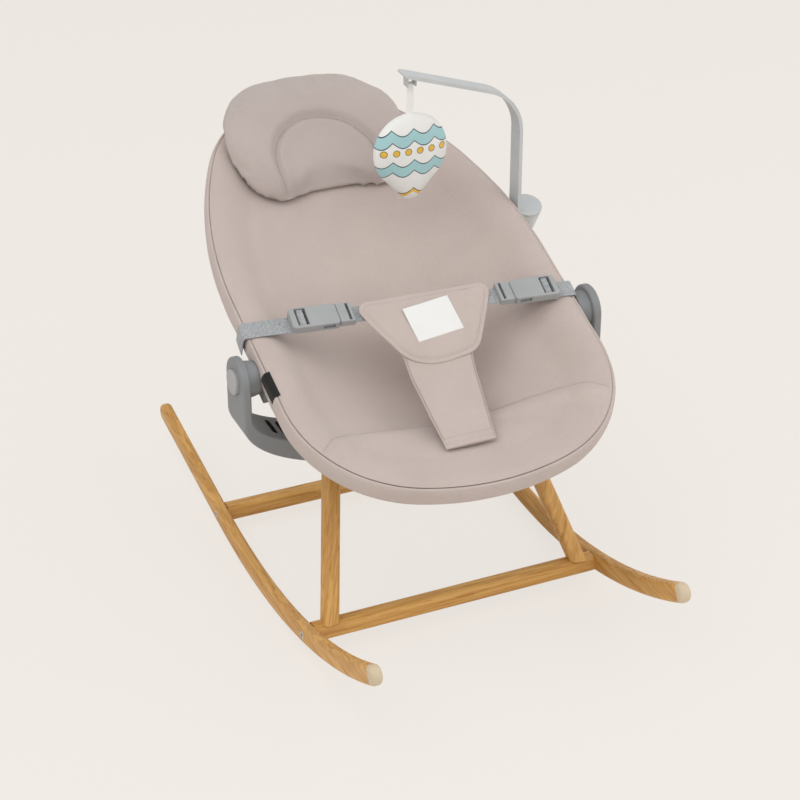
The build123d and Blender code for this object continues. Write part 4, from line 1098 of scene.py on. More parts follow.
@dataclass
class Assembly:
    """Common part of the sub-assemblies."""

    frame: dict
    paint: Paint

    def settle(
        self, obj: Obj, body: Body, finish: Finish | Coat, slot: str, nodes: Iterable[str] = ()
    ) -> None:
        """Dress a finished piece and fix it to its body.

        Args:
            obj: Piece, with its place in its mesh.
            body: Body that it rides on.
            finish: Its finish.
            slot: Material slot of the record; not used.
            nodes: Frame nodes that it stands for.
        """
        self.paint.on(obj, finish)
        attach(obj, body.value)
        if nodes:
            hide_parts(*nodes)
        LOG.info("piece %s", obj.name)

    def dress(self, finish: Finish, *names: str) -> None:
        """Give frame nodes a finish.

        Args:
            finish: Finish to use.
            *names: Frame nodes.
        """
        for name in names:
            self.paint.on(self.frame["nodes"][name], finish)
            LOG.info("node %s", name)


@dataclass
class RockerBase(Assembly):
    """Wooden runners, bars and legs, and the plastic yoke with its hubs."""

    spring_wire: float = 0.4
    spring_turns: int = 7
    turn_steps: int = 24
    button_travel: float = 4.6

    def build(self) -> None:
        """Dress the rigid parts of the base and build the springs."""
        for side in Side:
            for finish, *stems in (
                (Finish.OAK_Y, "runner"),
                (Finish.CAP, "runner_cap"),
                (Finish.OAK_LEG, "leg", "leg_stub"),
                (Finish.HUB, "lock_ring", "lock_disc", "pivot_bracket"),
                (Finish.BUTTON, "button"),
                (Finish.STEEL, "pivot_clip"),
            ):
                self.dress(finish, *(f"{stem}_{side.word}" for stem in stems))
            self.build_spring(side)
        self.dress(Finish.OAK_X, "front_bar", "rear_bar", "leg_dowels")
        self.dress(Finish.YOKE, "yoke_shell")
        self.dress(Finish.LINER, "yoke_liner")
        self.dress(Finish.TUBE, "back_tube", "leg_tube")
        self.dress(Finish.STEEL, "runner_bolts", "barrel_nuts", "yoke_screws", "leg_screws", "tube_rivets")

    def build_spring(self, side: Side) -> None:
        """Coil spring behind a button, as long as its frame node's box.

        Args:
            side: Side of the hub.
        """
        node = f"button_spring_{side.word}"
        low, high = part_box(node)
        wire, turns = self.spring_wire * MM, self.spring_turns
        length = high.x - low.x - 2 * wire
        radius = (high.z - low.z) / 2 - wire
        foot = side.pick((high.x - wire, low.x + wire))
        anchor = Vector((foot, (low.y + high.y) / 2, (low.z + high.z) / 2))
        deselect()
        upright = (math.pi / 2, 0, 0)
        bpy.ops.mesh.primitive_circle_add(vertices=10, radius=wire, fill_type="NOTHING", rotation=upright)
        coil = bpy.context.object
        coil.name = f"coil_{side.word}"
        bpy.ops.object.transform_apply(location=False, rotation=True, scale=True)
        for vertex in coil.data.vertices:
            vertex.co.x += radius
        apply_modifier(
            coil, "SCREW", axis="Z", angle=2 * math.pi, screw_offset=length / turns, iterations=turns,
            steps=self.turn_steps, render_steps=self.turn_steps, use_merge_vertices=False,
        )
        coil.rotation_euler = (0, side.value * math.pi / 2, 0)
        coil.location = anchor
        activate(coil)
        bpy.ops.object.transform_apply(location=True, rotation=True, scale=True)
        mend(coil.data, fill=True)
        shade(coil, CREASE)
        self.settle(coil, Body.SEAT, Finish.STEEL, "steel", (node,))
        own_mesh(coil)


@dataclass
class SeatCover(Assembly):
    """Padded cover: upper side, side band, lining and pillow."""

    insets: tuple[float, ...] = (5.5, 6.5, 9, 13, 18, 24, 31, 39, 48)
    inner_rings: int = 26
    spine_ends: Pair = (-146, 370)
    pad_depth: float = 13.0
    pad_edge: float = 0.4
    swell: float = 1.5
    pucker: float = 0.35
    seam_pucker: float = 0.8
    pucker_reach: float = 9.0
    seam_reach: float = 188.0
    hub_r: float = 20.6
    hub_depth: float = 0.06
    band_profile: tuple[Pair, ...] = (
        (5.5, -1.9), (3.6, -0.7), (1.8, -1.3), (0.4, -4.5), (-0.4, -10), (-0.3, -16), (0.4, -22), (1.6, -27),
        (4.0, -30.2), (8, -31.6), (15, -31.9), (22, -31.2), (25.5, -28), (25.5, -20), (20, -12), (10, -6),
    )
    band_slack: float = 0.7
    lining_inset: float = 20.0
    lining_edge_n: float = -31.0
    lining_gap: float = 18.8
    lining_thick: float = 1.6
    pillow_half: tuple[Pair, ...] = (
        (0, 467), (50, 463), (94, 440), (123, 394), (132, 350),
        (126, 310), (108, 275), (72, 264), (34, 274), (0, 277),
    )
    pillow_shares: tuple[float, ...] = (
        1.0, 0.985, 0.955, 0.91, 0.85, 0.78, 0.7, 0.61, 0.52, 0.43, 0.34, 0.25, 0.16, 0.08, 0.0,
    )
    pillow_steps: int = 72
    pillow_shift: float = -4.0
    pillow_middle: float = 355.0
    pillow_rise: float = 24.0
    pillow_wave: float = 0.9
    pillow_rest: tuple[tuple[float, float, float], ...] = (
        (215, -39.4, 0), (290, -27.4, 8), (345, -18, 34), (380, -9, 42), (400, -2, 34), (420, 1.2, 22),
        (475, 3, 12),
    )
    arch_half: float = 69.0
    arch_rise: float = 72.0
    arch_s: float = 305.0
    arch_foot: Pair = (66, 276)
    arch_mean_r: float = 70.0
    arch_press: float = 8.0
    arch_sink: float = 4.0
    arch_pucker: float = 0.7

    def build(self) -> None:
        """Build every soft part of the cover."""
        self.build_top()
        self.build_band()
        self.build_lining()
        self.build_pillow()

    def inward(self) -> list[tuple[Loop, list[float]]]:
        """Loops from the edge of the cover to the spine of the seat.

        Returns:
            Points and insets of each loop.
        """
        loops = [(RIM.loop(inset), [inset] * (2 * RIM.half_steps)) for inset in self.insets]
        last = loops[-1][0]
        spine = np.column_stack([np.zeros(len(last)), np.clip(last[:, 1], *self.spine_ends)])
        for ring in range(1, self.inner_rings + 1):
            share = ring / self.inner_rings
            points = last * (1 - share) + spine * share
            depth = np.linalg.norm(points - last, axis=1) + self.insets[-1]
            loops.append((points, list(depth)))
        return loops

    def wave(self, x: float, s: float, inset: float) -> float:
        """Slow swell of the wadding and small puckers beside the seams.

        Args:
            x: Across the seat.
            s: Along the seat.
            inset: Distance inside the rim.

        Returns:
            Height to add.
        """
        reach = self.pucker_reach
        swell = self.swell * noise.noise(Vector((x / 85, s / 110, 0.3)))
        edge = self.pucker * ripple(x, s, 9, 4.0) * bell(inset - reach, reach)
        seam = self.seam_pucker * noise.noise(Vector((x / 11, 7.0, 2.0)))
        seam *= bell(s - DISH.leg_seam(x), reach)
        return swell * smooth_step(14, 50, inset) + (edge + seam)

    def top_rings(self) -> Iterator[tuple[Row, Row]]:
        """Rings of the cover's face and of the underside of its wadding.

        Yields:
            Points of both sides, from the edge to the middle.
        """
        for points, insets in self.inward():
            top, under = [], []
            for (x, s), inset in zip(points, insets):
                plain = DISH.height(x, s, inset)
                height = plain + self.wave(x, s, inset)
                drop = self.pad_depth * smooth_step(5, 30, inset) + self.pad_edge
                top.append(SEAT.place(x, s, height))
                under.append(SEAT.place(x, s, min(height, plain) - drop))
            yield top, under

    def build_top(self) -> None:
        """Upper side of the seat and leg rest, one quilted skin with a pressed-in seam."""
        cover = cushion("cover_top", self.top_rings())
        round_over(cover)
        self.settle(cover, Body.SEAT, Finish.COVER, "taupe_fabric", ("seat_pad", "leg_rest_pad"))
        line = [(x, DISH.leg_seam(x)) for x in spread(-self.seam_reach, self.seam_reach, 64)]
        self.sew_line("leg_seam", cover, line, "taupe_fabric")

    def build_band(self) -> None:
        """Side band around the rim, with slack and pulled folds."""
        loops = []
        for inset, n in self.band_profile:
            row = []
            for x, s in RIM.loop(inset):
                slack = self.band_slack * ripple(x, s, 30, n / 14)
                row.append(SEAT.place(x * (1 + slack / RIM.half_width), s, n + 0.4 * slack))
            loops.append(row)
        band = skin("cover_band", loops, closed=True)
        round_over(band)
        for side in Side:
            self.cut_hub(band, side)
        self.settle(band, Body.SEAT, Finish.COVER, "taupe_fabric", ("side_band",))

    def cut_hub(self, band: Obj, side: Side) -> None:
        """Opening in the side band where the seat's pivot passes through it.

        Args:
            band: Finished side band.
            side: Side of the seat.
        """
        deselect()
        bpy.ops.mesh.primitive_cylinder_add(
            vertices=72, radius=self.hub_r * MM, depth=self.hub_depth, rotation=(0, math.pi / 2, 0),
            location=SEAT.place(side.value * RIM.half_width, 0, -SEAT.rim_rise),
        )
        tool = bpy.context.object
        apply_modifier(band, "BOOLEAN", operation="DIFFERENCE", solver="EXACT", object=tool)
        bpy.data.objects.remove(tool)
        shade(band)

    def lining_rings(self) -> Iterator[tuple[Row, Row]]:
        """Rings of the lining's outer and inner side.

        Yields:
            Points of both sides, from the edge to the middle.
        """
        edge_n = self.lining_edge_n
        for points, insets in self.inward():
            if min(insets) < self.lining_inset:
                continue
            inner, outer = [], []
            for (x, s), inset in zip(points, insets):
                share = smooth_step(self.lining_inset, 60, inset)
                height = (1 - share) * edge_n + share * min(DISH.sag(x, s) - self.lining_gap, edge_n)
                inner.append(SEAT.place(x, s, height))
                outer.append(SEAT.place(x, s, height - self.lining_thick))
            yield outer, inner

    def build_lining(self) -> None:
        """Lining that closes the seat from below."""
        lining = cushion("cover_lining", self.lining_rings())
        round_over(lining)
        self.settle(lining, Body.SEAT, Finish.LINING, "under_fabric", ("under_panel",))

    def pillow_loop(self) -> Loop:
        """Outline of the pillow as a smooth closed line.

        Returns:
            Rows of x and s.
        """
        edges = np.linalg.norm(np.diff(np.array(self.pillow_half, dtype=float), axis=0), axis=1)
        full = mirrored(self.pillow_half, np.concatenate([[0], np.cumsum(edges)]), self.pillow_steps)
        for _ in range(12):
            full = 0.5 * full + 0.25 * (np.roll(full, 1, axis=0) + np.roll(full, -1, axis=0))
        return full + (self.pillow_shift, 0)

    def arch(self, x: float, s: float) -> float:
        """Signed distance to the arch seam, negative inside it.

        Args:
            x: Across the seat.
            s: Along the seat.

        Returns:
            The distance.
        """
        x -= self.pillow_shift
        if s > self.arch_s:
            share = math.hypot(x / self.arch_half, (s - self.arch_s) / self.arch_rise)
            return share * self.arch_mean_r - self.arch_mean_r
        return abs(x) - (self.arch_half - 5 * (self.arch_s - s) / 43)

    def pillow_floor(self, x: float, s: float) -> float:
        """Height of the underside of the pillow."""
        middle, edge = look_up(self.pillow_rest, s)
        return middle + (edge - middle) * (x / DISH.span) ** 2

    def pillow_rings(self) -> Iterator[tuple[Row, Row]]:
        """Rings of the pillow's face and underside.

        Yields:
            Points of both sides, from the edge to the middle.
        """
        outline = self.pillow_loop()
        middle = np.array((self.pillow_shift, self.pillow_middle))
        for share in self.pillow_shares:
            top, under = [], []
            for x, s in middle + (outline - middle) * share:
                floor = self.pillow_floor(x, s)
                rise = self.pillow_rise * (1 - share**5) ** 0.55 + self.pillow_wave * ripple(x, s, 28, 1.7)
                top.append(SEAT.place(x, s, floor + 1.2 + max(0.6, rise)))
                under.append(SEAT.place(x, s, floor + 1.0))
            yield top, under

    def build_pillow(self) -> None:
        """Head pillow: swollen as filled cloth, then an arch is sewn into it."""
        pillow = cushion("pillow_stuffed", self.pillow_rings())
        puff(pillow, voxel=0.0045, cap=0.006)
        round_over(pillow)
        self.sew_arch(pillow)
        self.settle(pillow, Body.SEAT, Finish.PILLOW, "pillow_fabric", ("head_pillow",))
        foot, foot_s = self.arch_foot
        line = [(foot, foot_s)]
        for turn in spread(0, math.pi, 61):
            line.append((self.arch_half * math.cos(turn), self.arch_s + self.arch_rise * math.sin(turn)))
        line = [(x + self.pillow_shift, s) for x, s in [*line, (-foot, foot_s)]]
        self.sew_line("pillow_arch_seam", pillow, line, "pillow_fabric")

    def sew_arch(self, pillow: Obj) -> None:
        """Press the arch seam into the upper side and keep the underside on the seat.

        Args:
            pillow: Swollen pillow.
        """
        for vertex in pillow.data.vertices:
            x, s, n = SEAT.find(vertex.co)
            floor = self.pillow_floor(x, s)
            away = self.arch(x, s)
            press = self.arch_press * bell(away, 5.0) + self.arch_sink * smooth_step(0, 22, -away)
            press += self.arch_pucker * ripple(x, s, 7, 6.0) * bell(away, 12)
            height = max(n - press * smooth_step(5, 16, n - floor), floor + 0.8)
            vertex.co += SEAT.normal * (height - n) * MM
        pillow.data.update()

    def sew_line(self, name: str, cloth: Obj, line: Sequence[Pair], slot: str) -> None:
        """Row of seam thread that lies on a soft piece.

        Args:
            name: Name of the thread.
            cloth: Piece that is sewn.
            line: Corners of the seam in x and s.
            slot: Material slot of the thread.
        """
        points = []
        for spot in finer([Vector(corner) for corner in line]):
            hit, place, *_ = cloth.ray_cast(SEAT.place(spot.x, spot.y, 120), -SEAT.normal)
            if hit:
                points.append(place)
        thread = stitches(name, [points], SEAT.normal, (2.9, 3.0))
        self.settle(thread, Body.SEAT, Finish.SEAM, slot)


@dataclass(frozen=True)
class HarnessSpace:
    """Axes of the waist strap: u along the webbing, v across it, n as on the seat."""

    mouths: Pair = (-96.0, 131.0)
    drop: float = 216.4

    @property
    def run(self) -> Vector:
        """Unit direction along the webbing."""
        return Vector((math.cos(WAIST_TURN), 0, 0)) + SEAT.along * math.sin(WAIST_TURN)

    @property
    def across(self) -> Vector:
        """Unit direction over the width of the webbing."""
        return SEAT.normal.cross(self.run)

    def place(self, u: float, n: float, v: float = 0.0) -> Vector:
        """Point of the strap's axes in the object's frame, in metres."""
        return SEAT.place(0, WAIST_S, n) + (self.run * u + self.across * v) * MM


HARNESS = HarnessSpace()


@dataclass
class Harness(Assembly):
    """Waist strap, buckles, flap with its label, crotch strap and side tag."""

    web_half: float = 12.4
    web_thick: float = 1.6
    strap_feet: Pair = (-26.8, -2.9)
    strap_bend: float = 4.6
    strap_edge_n: float = -3.0
    strap_n: float = 1.6
    strap_end: float = 20.0
    strap_flat: float = 10.0
    loop_half: Pair = (3.9, 4.15)
    loop_away: float = 46.0
    loop_n: float = 8.5
    tab_length: float = 29.5
    tab_away: float = 12.2
    tab_n: float = 5.0
    tab_rise: float = 0.9
    flap_tilt: float = math.radians(12.4)
    flap_s: float = 40.0
    flap_n: float = 12.5
    flap_points: tuple[Pair, ...] = (
        (-75, 7), (109.5, 1.5), (89.5, -37), (58.5, -89), (-1.5, -97), (-34, -82), (-63, -25),
    )
    flap_corners: tuple[float, ...] = (12.0, 12.0, 30.0, 34.0, 60.0, 40.0, 40.0)
    flap_middle: Pair = (18, -40)
    flap_shares: tuple[float, ...] = (
        1.0, 0.985, 0.965, 0.94, 0.915, 0.89, 0.86, 0.82, 0.76, 0.68, 0.56, 0.42, 0.26, 0.1, 0.0,
    )
    flap_seam: float = 5.5
    flap_edge: float = 1.3
    flap_pad: float = 2.7
    flap_press: float = 0.9
    flap_wave: float = 0.35
    fold_press: float = 0.5
    label_at: Pair = (16.0, -36.0)
    label_half: Pair = (31.5, 24.0)
    label_turn: float = math.radians(6.0)
    crotch: tuple[tuple[float, float, float, float], ...] = (
        (-181, -7.9, -10.1, 32.5), (-150, -9.1, -6.4, 35.2), (-110, -10.6, -1.6, 38.7),
        (-76, -11.7, 2.5, 41.6), (-62, -11.4, 4.2, 42.8), (-50, -9.2, 5.7, 43.9),
        (-20, -3.2, 9.4, 46.6), (16, 4.6, 14, 50),
    )
    hems: Pair = (-166.0, -174.0)
    tag_face: tuple[Pair, ...] = (
        (8, 1.5), (6, 1.0), (3.6, 0.4), (1.8, -0.3), (0.2, -3.4), (-0.9, -7), (-1.2, -12),
    )
    tag_ends: Pair = (-18, -56)

    def build(self) -> None:
        """Build and dress the harness."""
        for side in Side:
            self.build_strap(side)
            if side is Side.LEFT:
                self.build_box_stitch()
            self.build_loop(side)
            self.build_tab(side)
            self.dress(Finish.BUCKLE, f"buckle_female_{side.word}", f"buckle_male_{side.word}")
        self.build_flap()
        self.build_label()
        self.build_crotch()
        self.build_tag()

    def build_strap(self, side: Side) -> None:
        """Webbing from the side of the seat to the buckle, pressed over the rim.

        Args:
            side: Side of the seat.
        """
        sign, foot = side.value, side.pick(self.strap_feet)
        drop, bend, edge = HARNESS.drop, self.strap_bend, self.strap_edge_n
        end = side.pick(HARNESS.mouths) + sign * self.strap_end
        path = [(drop, foot), (drop, min(edge, foot * 0.4))]
        for step in range(7):
            angle = math.pi / 2 * step / 6
            path.append((drop - bend + bend * math.cos(angle), edge + bend * math.sin(angle)))
        flat = spread(drop - self.strap_flat, abs(end), 24)
        path += [(u, self.strap_n + 0.25 * math.sin(u / 7)) for u in flat]
        stations = []
        for index, (u, n) in enumerate(path):
            before, after = path[max(0, index - 1)], path[min(len(path) - 1, index + 1)]
            heading = HARNESS.run * sign * (after[0] - before[0]) + SEAT.normal * (after[1] - before[1])
            heading.normalize()
            up = HARNESS.across.cross(heading) * sign
            stations.append(Station(HARNESS.place(sign * u, n), HARNESS.across, up, self.web_half))
        web = strip(f"webbing_{side.word}", stations, self.web_thick)
        self.settle(web, Body.SEAT, Finish.WEBBING, "webbing", (f"strap_{side.word}",))
        run_length(stations)

    def build_box_stitch(self) -> None:
        """Box of stitches where the left strap is sewn down beside the rim."""
        near = HARNESS.drop - self.strap_flat
        box = [(-8, 4), (8, 4), (8, 15), (-8, 15), (-8, 4)]
        line = [HARNESS.place(u - near, 2.45, v) for v, u in box]
        sewn = stitches("webbing_box_stitch", [line], SEAT.normal, (3.0, 2.1))
        self.settle(sewn, Body.SEAT, Finish.WEBBING, "webbing")

    def build_loop(self, side: Side) -> None:
        """Webbing that turns round the ladder bar of a buckle.

        Args:
            side: Side of the seat.
        """
        middle = side.pick(HARNESS.mouths) + side.value * self.loop_away
        stations = []
        for step in range(33):
            angle = 2 * math.pi * step / 32 - math.pi / 2
            aim = (math.cos(angle), math.sin(angle))
            wide, high = (
                half * math.copysign(abs(part) ** 0.5, part) for half, part in zip(self.loop_half, aim)
            )
            up = (HARNESS.run * aim[0] + SEAT.normal * aim[1]).normalized()
            centre = HARNESS.place(middle + wide, self.loop_n + high)
            stations.append(Station(centre, HARNESS.across, up, self.web_half))
        loop = strip(f"webbing_loop_{side.word}", stations, 1.0)
        body = side.pick((Body.BUCKLE_LEFT, Body.BUCKLE_RIGHT))
        self.settle(loop, body, Finish.WEBBING, "webbing", (f"strap_loop_{side.word}",))
        run_length(stations)

    def build_tab(self, side: Side) -> None:
        """Webbing tab between a buckle and the flap.

        Args:
            side: Side of the seat.
        """
        start = side.pick(HARNESS.mouths) - side.value * self.tab_away
        stations = []
        for reach in spread(0, self.tab_length, 12):
            n = self.tab_n + self.tab_rise * smooth_step(8, 29, reach)
            centre = HARNESS.place(start - side.value * reach, n)
            stations.append(Station(centre, HARNESS.across, SEAT.normal, self.web_half))
        tab = strip(f"webbing_tab_{side.word}", stations, self.web_thick)
        self.settle(tab, Body.SEAT, Finish.WEBBING, "webbing", (f"tab_{side.word}",))
        run_length(stations)

    @property
    def flap_up(self) -> Vector:
        """Unit direction out of the flap."""
        return SEAT.normal * math.cos(self.flap_tilt) - SEAT.along * math.sin(self.flap_tilt)

    def on_flap(self, x: float, y: float, height: float) -> Vector:
        """Point over the flap's underside, in metres."""
        forward = SEAT.along * math.cos(self.flap_tilt) + SEAT.normal * math.sin(self.flap_tilt)
        return SEAT.place(x, self.flap_s, self.flap_n) + (forward * y + self.flap_up * height) * MM

    def on_face(self, x: float, y: float, height: float = 0.0) -> Vector:
        """Point over the flap's padded face, in metres."""
        return self.on_flap(x, y, self.flap_height(x, y) + height)

    def flap_line(self, inset: float = 0.0) -> Row:
        """Outline of the flap with round corners, moved in by an inset.

        Args:
            inset: Distance inside the edge.

        Returns:
            Flat points of the closed line, the first one repeated.
        """
        points = [Vector(point) for point in self.flap_points]
        line = []
        for corner, last, following, radius in zip(
            points, points[-1:] + points[:-1], points[1:] + points[:1], self.flap_corners
        ):
            before, after = (last - corner).normalized(), (following - corner).normalized()
            half = math.acos(max(-1, min(1, before.dot(after)))) / 2
            middle = corner + (before + after).normalized() * (radius / math.sin(half))
            first, final = (corner + way * radius / math.tan(half) - middle for way in (before, after))
            for step in range(9):
                line.append(middle + first.lerp(final, step / 8).normalized() * max(0.5, radius - inset))
        return [*line, line[0].copy()]

    def fold_x(self, y: float) -> float:
        """Place of the flap's right fold."""
        return 66 + 0.28 * (y + 20)

    def flap_height(self, x: float, y: float) -> float:
        """Height of the flap's padded face over its underside.

        Args:
            x: Across the flap.
            y: Along the flap.

        Returns:
            The height.
        """
        line, spot, reach = self.flap_line(), Vector((x, y)), math.inf
        for start, end in zip(line, line[1:]):
            edge = end - start
            share = max(0.0, min(1.0, (spot - start).dot(edge) / max(edge.length_squared, 1e-9)))
            reach = min(reach, (start + edge * share - spot).length)
        height = self.flap_edge + self.flap_pad * smooth_step(-2, 13, reach)
        height -= self.flap_press * bell(reach - self.flap_seam, 1.6)
        height -= self.fold_press * bell(x - self.fold_x(y), 1.8)
        return height + self.flap_wave * ripple(x, y, 16, 3.1)

    def flap_rings(self) -> Iterator[tuple[Row, Row]]:
        """Rings of the flap's face and underside.

        Yields:
            Points of both sides, from the edge to the middle.
        """
        edge, middle = finer(self.flap_line()), Vector(self.flap_middle)
        for share in self.flap_shares:
            spots = [middle.lerp(point, share) for point in edge]
            under = [self.on_flap(spot.x, spot.y, 0.1) for spot in spots]
            if share < 1:
                yield [self.on_face(spot.x, spot.y) for spot in spots], under
            else:
                yield [self.on_flap(spot.x, spot.y, 1.1) for spot in spots], under

    def build_flap(self) -> None:
        """Padded flap over the buckle tabs, with its rows of stitches."""
        flap = cushion("flap_padded", self.flap_rings())
        shade(flap, CREASE)
        self.settle(flap, Body.SEAT, Finish.COVER, "taupe_fabric", ("waist_flap",))
        row = [self.on_face(point.x, point.y) for point in self.flap_line(self.flap_seam)]
        fold = [self.on_face(self.fold_x(y), y) for y in spread(-4, -80, 18)]
        sewn = stitches("flap_stitch", [row, fold], self.flap_up, (3.6, 2.6))
        self.settle(sewn, Body.SEAT, Finish.THREAD, "taupe_fabric")

    def on_label(self, x: float, y: float, height: float) -> Vector:
        """Point over the label's middle, turned with it."""
        spot = Matrix.Rotation(self.label_turn, 2) @ Vector((x, y)) + Vector(self.label_at)
        return self.on_face(spot.x, spot.y, height)

    def build_label(self) -> None:
        """Blank woven label, sewn to the flap."""
        wide, tall = self.label_half
        across = (self.on_label(0, 1, 0) - self.on_label(0, 0, 0)).normalized()
        stations = []
        for x in spread(-wide, wide, 15):
            stations.append(Station(self.on_label(x, 0, 0.95), across, self.flap_up, tall))
        label = strip("label_blank", stations, 0.6, 0.0)
        self.settle(label, Body.SEAT, Finish.LABEL, "label_white", ("flap_label",))
        x, y = wide - 2, tall - 2
        ring = [(-x, -y), (x, -y), (x, y), (-x, y), (-x, -y)]
        line = [self.on_label(x, 0, 1.28) + across * y * MM for x, y in ring]
        sewn = stitches("label_stitch", [line], self.flap_up, (2.6, 1.9))
        self.settle(sewn, Body.SEAT, Finish.RIBBON, "label_white")

    def crotch_at(self, s: float) -> list[float]:
        """Height, middle and half width of the crotch strap at a station."""
        return look_up(self.crotch, s)

    def on_crotch(self, s: float, aside: float, height: float) -> Vector:
        """Point on the crotch strap's gentle waves, in metres."""
        n, x, _ = self.crotch_at(s)
        return SEAT.place(x + aside, s, n + height + 0.3 * math.sin(s / 9))

    def build_crotch(self) -> None:
        """Crotch strap with overcast edges and a double hem."""
        stations = []
        for s in spread(16, -181, 48):
            slope = (self.crotch_at(s + 2)[0] - self.crotch_at(s - 2)[0]) / 4
            up = (SEAT.normal - SEAT.along * slope).normalized()
            spot = self.on_crotch(s, 0, 0.5 if s < self.hems[0] else 0.0)
            stations.append(Station(spot, Vector((1, 0, 0)), up, self.crotch_at(s)[2]))
        strap = strip("crotch_strap_padded", stations, 3.6, 0.45)
        self.settle(strap, Body.SEAT, Finish.COVER, "taupe_fabric", ("crotch_strap",))
        edges = []
        for sign in (-1, 1):
            run = spread(10, -178, 40)
            edges.append([self.on_crotch(s, sign * (self.crotch_at(s)[2] - 2.2), 1.5) for s in run])
        hems = []
        for s in self.hems:
            half = self.crotch_at(s)[2] - 3
            hems.append([self.on_crotch(s, *spot) for spot in ((-half, 1.6), (0, 2.1), (half, 1.6))])
        cast = stitches("crotch_overcast", edges, SEAT.normal, (2.6, 3.0), math.radians(62))
        hem = stitches("crotch_hem", hems, SEAT.normal, (3.2, 2.4))
        for sewn in (cast, hem):
            self.settle(sewn, Body.SEAT, Finish.THREAD, "taupe_fabric")

    def build_tag(self) -> None:
        """Blank black tag, sewn into the rim seam and folded down the left side band."""
        back = [(inset + 0.5, n - 0.7) for inset, n in reversed(self.tag_face)]
        loops = []
        for s in spread(*self.tag_ends, 12):
            loops.append([SEAT.place(inset - RIM.half_width, s, n) for inset, n in (*self.tag_face, *back)])
        tag = skin("tag_blank", loops)
        mend(tag.data, fill=True)
        shade(tag, CREASE)
        self.settle(tag, Body.SEAT, Finish.TAG, "tag_black", ("side_tag",))


@dataclass
class Toy(Assembly):
    """Toy bar on its holder, with a ribbon and a stuffed toy."""

    ribbon_half: float = 4.5
    ribbon_thick: float = 1.1
    ribbon_sway: float = 0.0004
    foot_r: float = 0.015
    outline_steps: int = 72
    plush_shares: tuple[float, ...] = (1.0, 0.985, 0.96, 0.92, 0.86, 0.78, 0.68, 0.56, 0.42, 0.28, 0.14, 0.0)

    def build(self) -> None:
        """Build and dress the toy bar and its toy."""
        self.dress(Finish.BAR, "toy_bar")
        self.dress(Finish.HOLDER, "toy_holder")
        self.dress(Finish.STEEL, "turret_screw", "toy_pin")
        self.build_ribbon()
        self.build_plush()

    def build_ribbon(self) -> None:
        """Satin ribbon from the pin to the toy."""
        low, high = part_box("toy_ribbon")
        middle = (low + high) / 2
        across, up = Vector((1, 0, 0)), Vector((0, -1, 0))
        stations = []
        for share in spread(0, 1, 26):
            z = low.z + (high.z - low.z - 0.0004) * share
            centre = Vector((middle.x, middle.y + self.ribbon_sway * math.sin(share * 9), z))
            stations.append(Station(centre, across, up, self.ribbon_half))
        ribbon = strip("ribbon_satin", stations, self.ribbon_thick)
        self.settle(ribbon, Body.TOY, Finish.RIBBON, "ribbon_white", ("toy_ribbon",))
        run_length(stations)

    def outline(self, low: Vector, high: Vector) -> Row:
        """Balloon outline: a large round head drawn down to a small foot.

        Args:
            low: Low corner of the toy.
            high: High corner of the toy.

        Returns:
            Points in the toy's middle plane.
        """
        radius = (high.x - low.x) / 2
        x, y = (low.x + high.x) / 2, (low.y + high.y) / 2
        head, base = high.z - radius, low.z + self.foot_r
        reach_of_foot = math.pi / 2 - math.asin((radius - self.foot_r) / (head - base))
        line = []
        for step in range(self.outline_steps):
            angle = math.pi / 2 - 2 * math.pi * step / self.outline_steps
            turn = (angle + math.pi / 2) % (2 * math.pi)
            on_foot = turn < reach_of_foot or turn > 2 * math.pi - reach_of_foot
            reach, level = (self.foot_r, base) if on_foot else (radius, head)
            line.append(Vector((x + reach * math.cos(angle), y, level + reach * math.sin(angle))))
        return line

    def build_plush(self) -> None:
        """Stuffed toy: two printed faces sewn round the edge and swollen."""
        low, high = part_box("toy_plush")
        radius, deep = (high.x - low.x) / 2, (high.y - low.y) / 2
        middle = Vector(((low.x + high.x) / 2, (low.y + high.y) / 2, high.z - radius * 1.05))
        line = self.outline(low, high)
        rings = []
        for share in self.plush_shares:
            rise = Vector((0, deep * 0.98 * (1 - share**3.2) ** 0.6 + 0.0002, 0))
            row = [middle.lerp(point, share) for point in line]
            rings.append(([point - rise for point in row], [point + rise for point in row]))
        plush = cushion("toy_stuffed", rings)
        puff(plush, voxel=0.003, cap=0.003)
        round_over(plush)
        finish = PlushFinish("toy_print", (middle.x, high.z - radius), radius)
        self.settle(plush, Body.TOY, finish, "plush", ("toy_plush",))


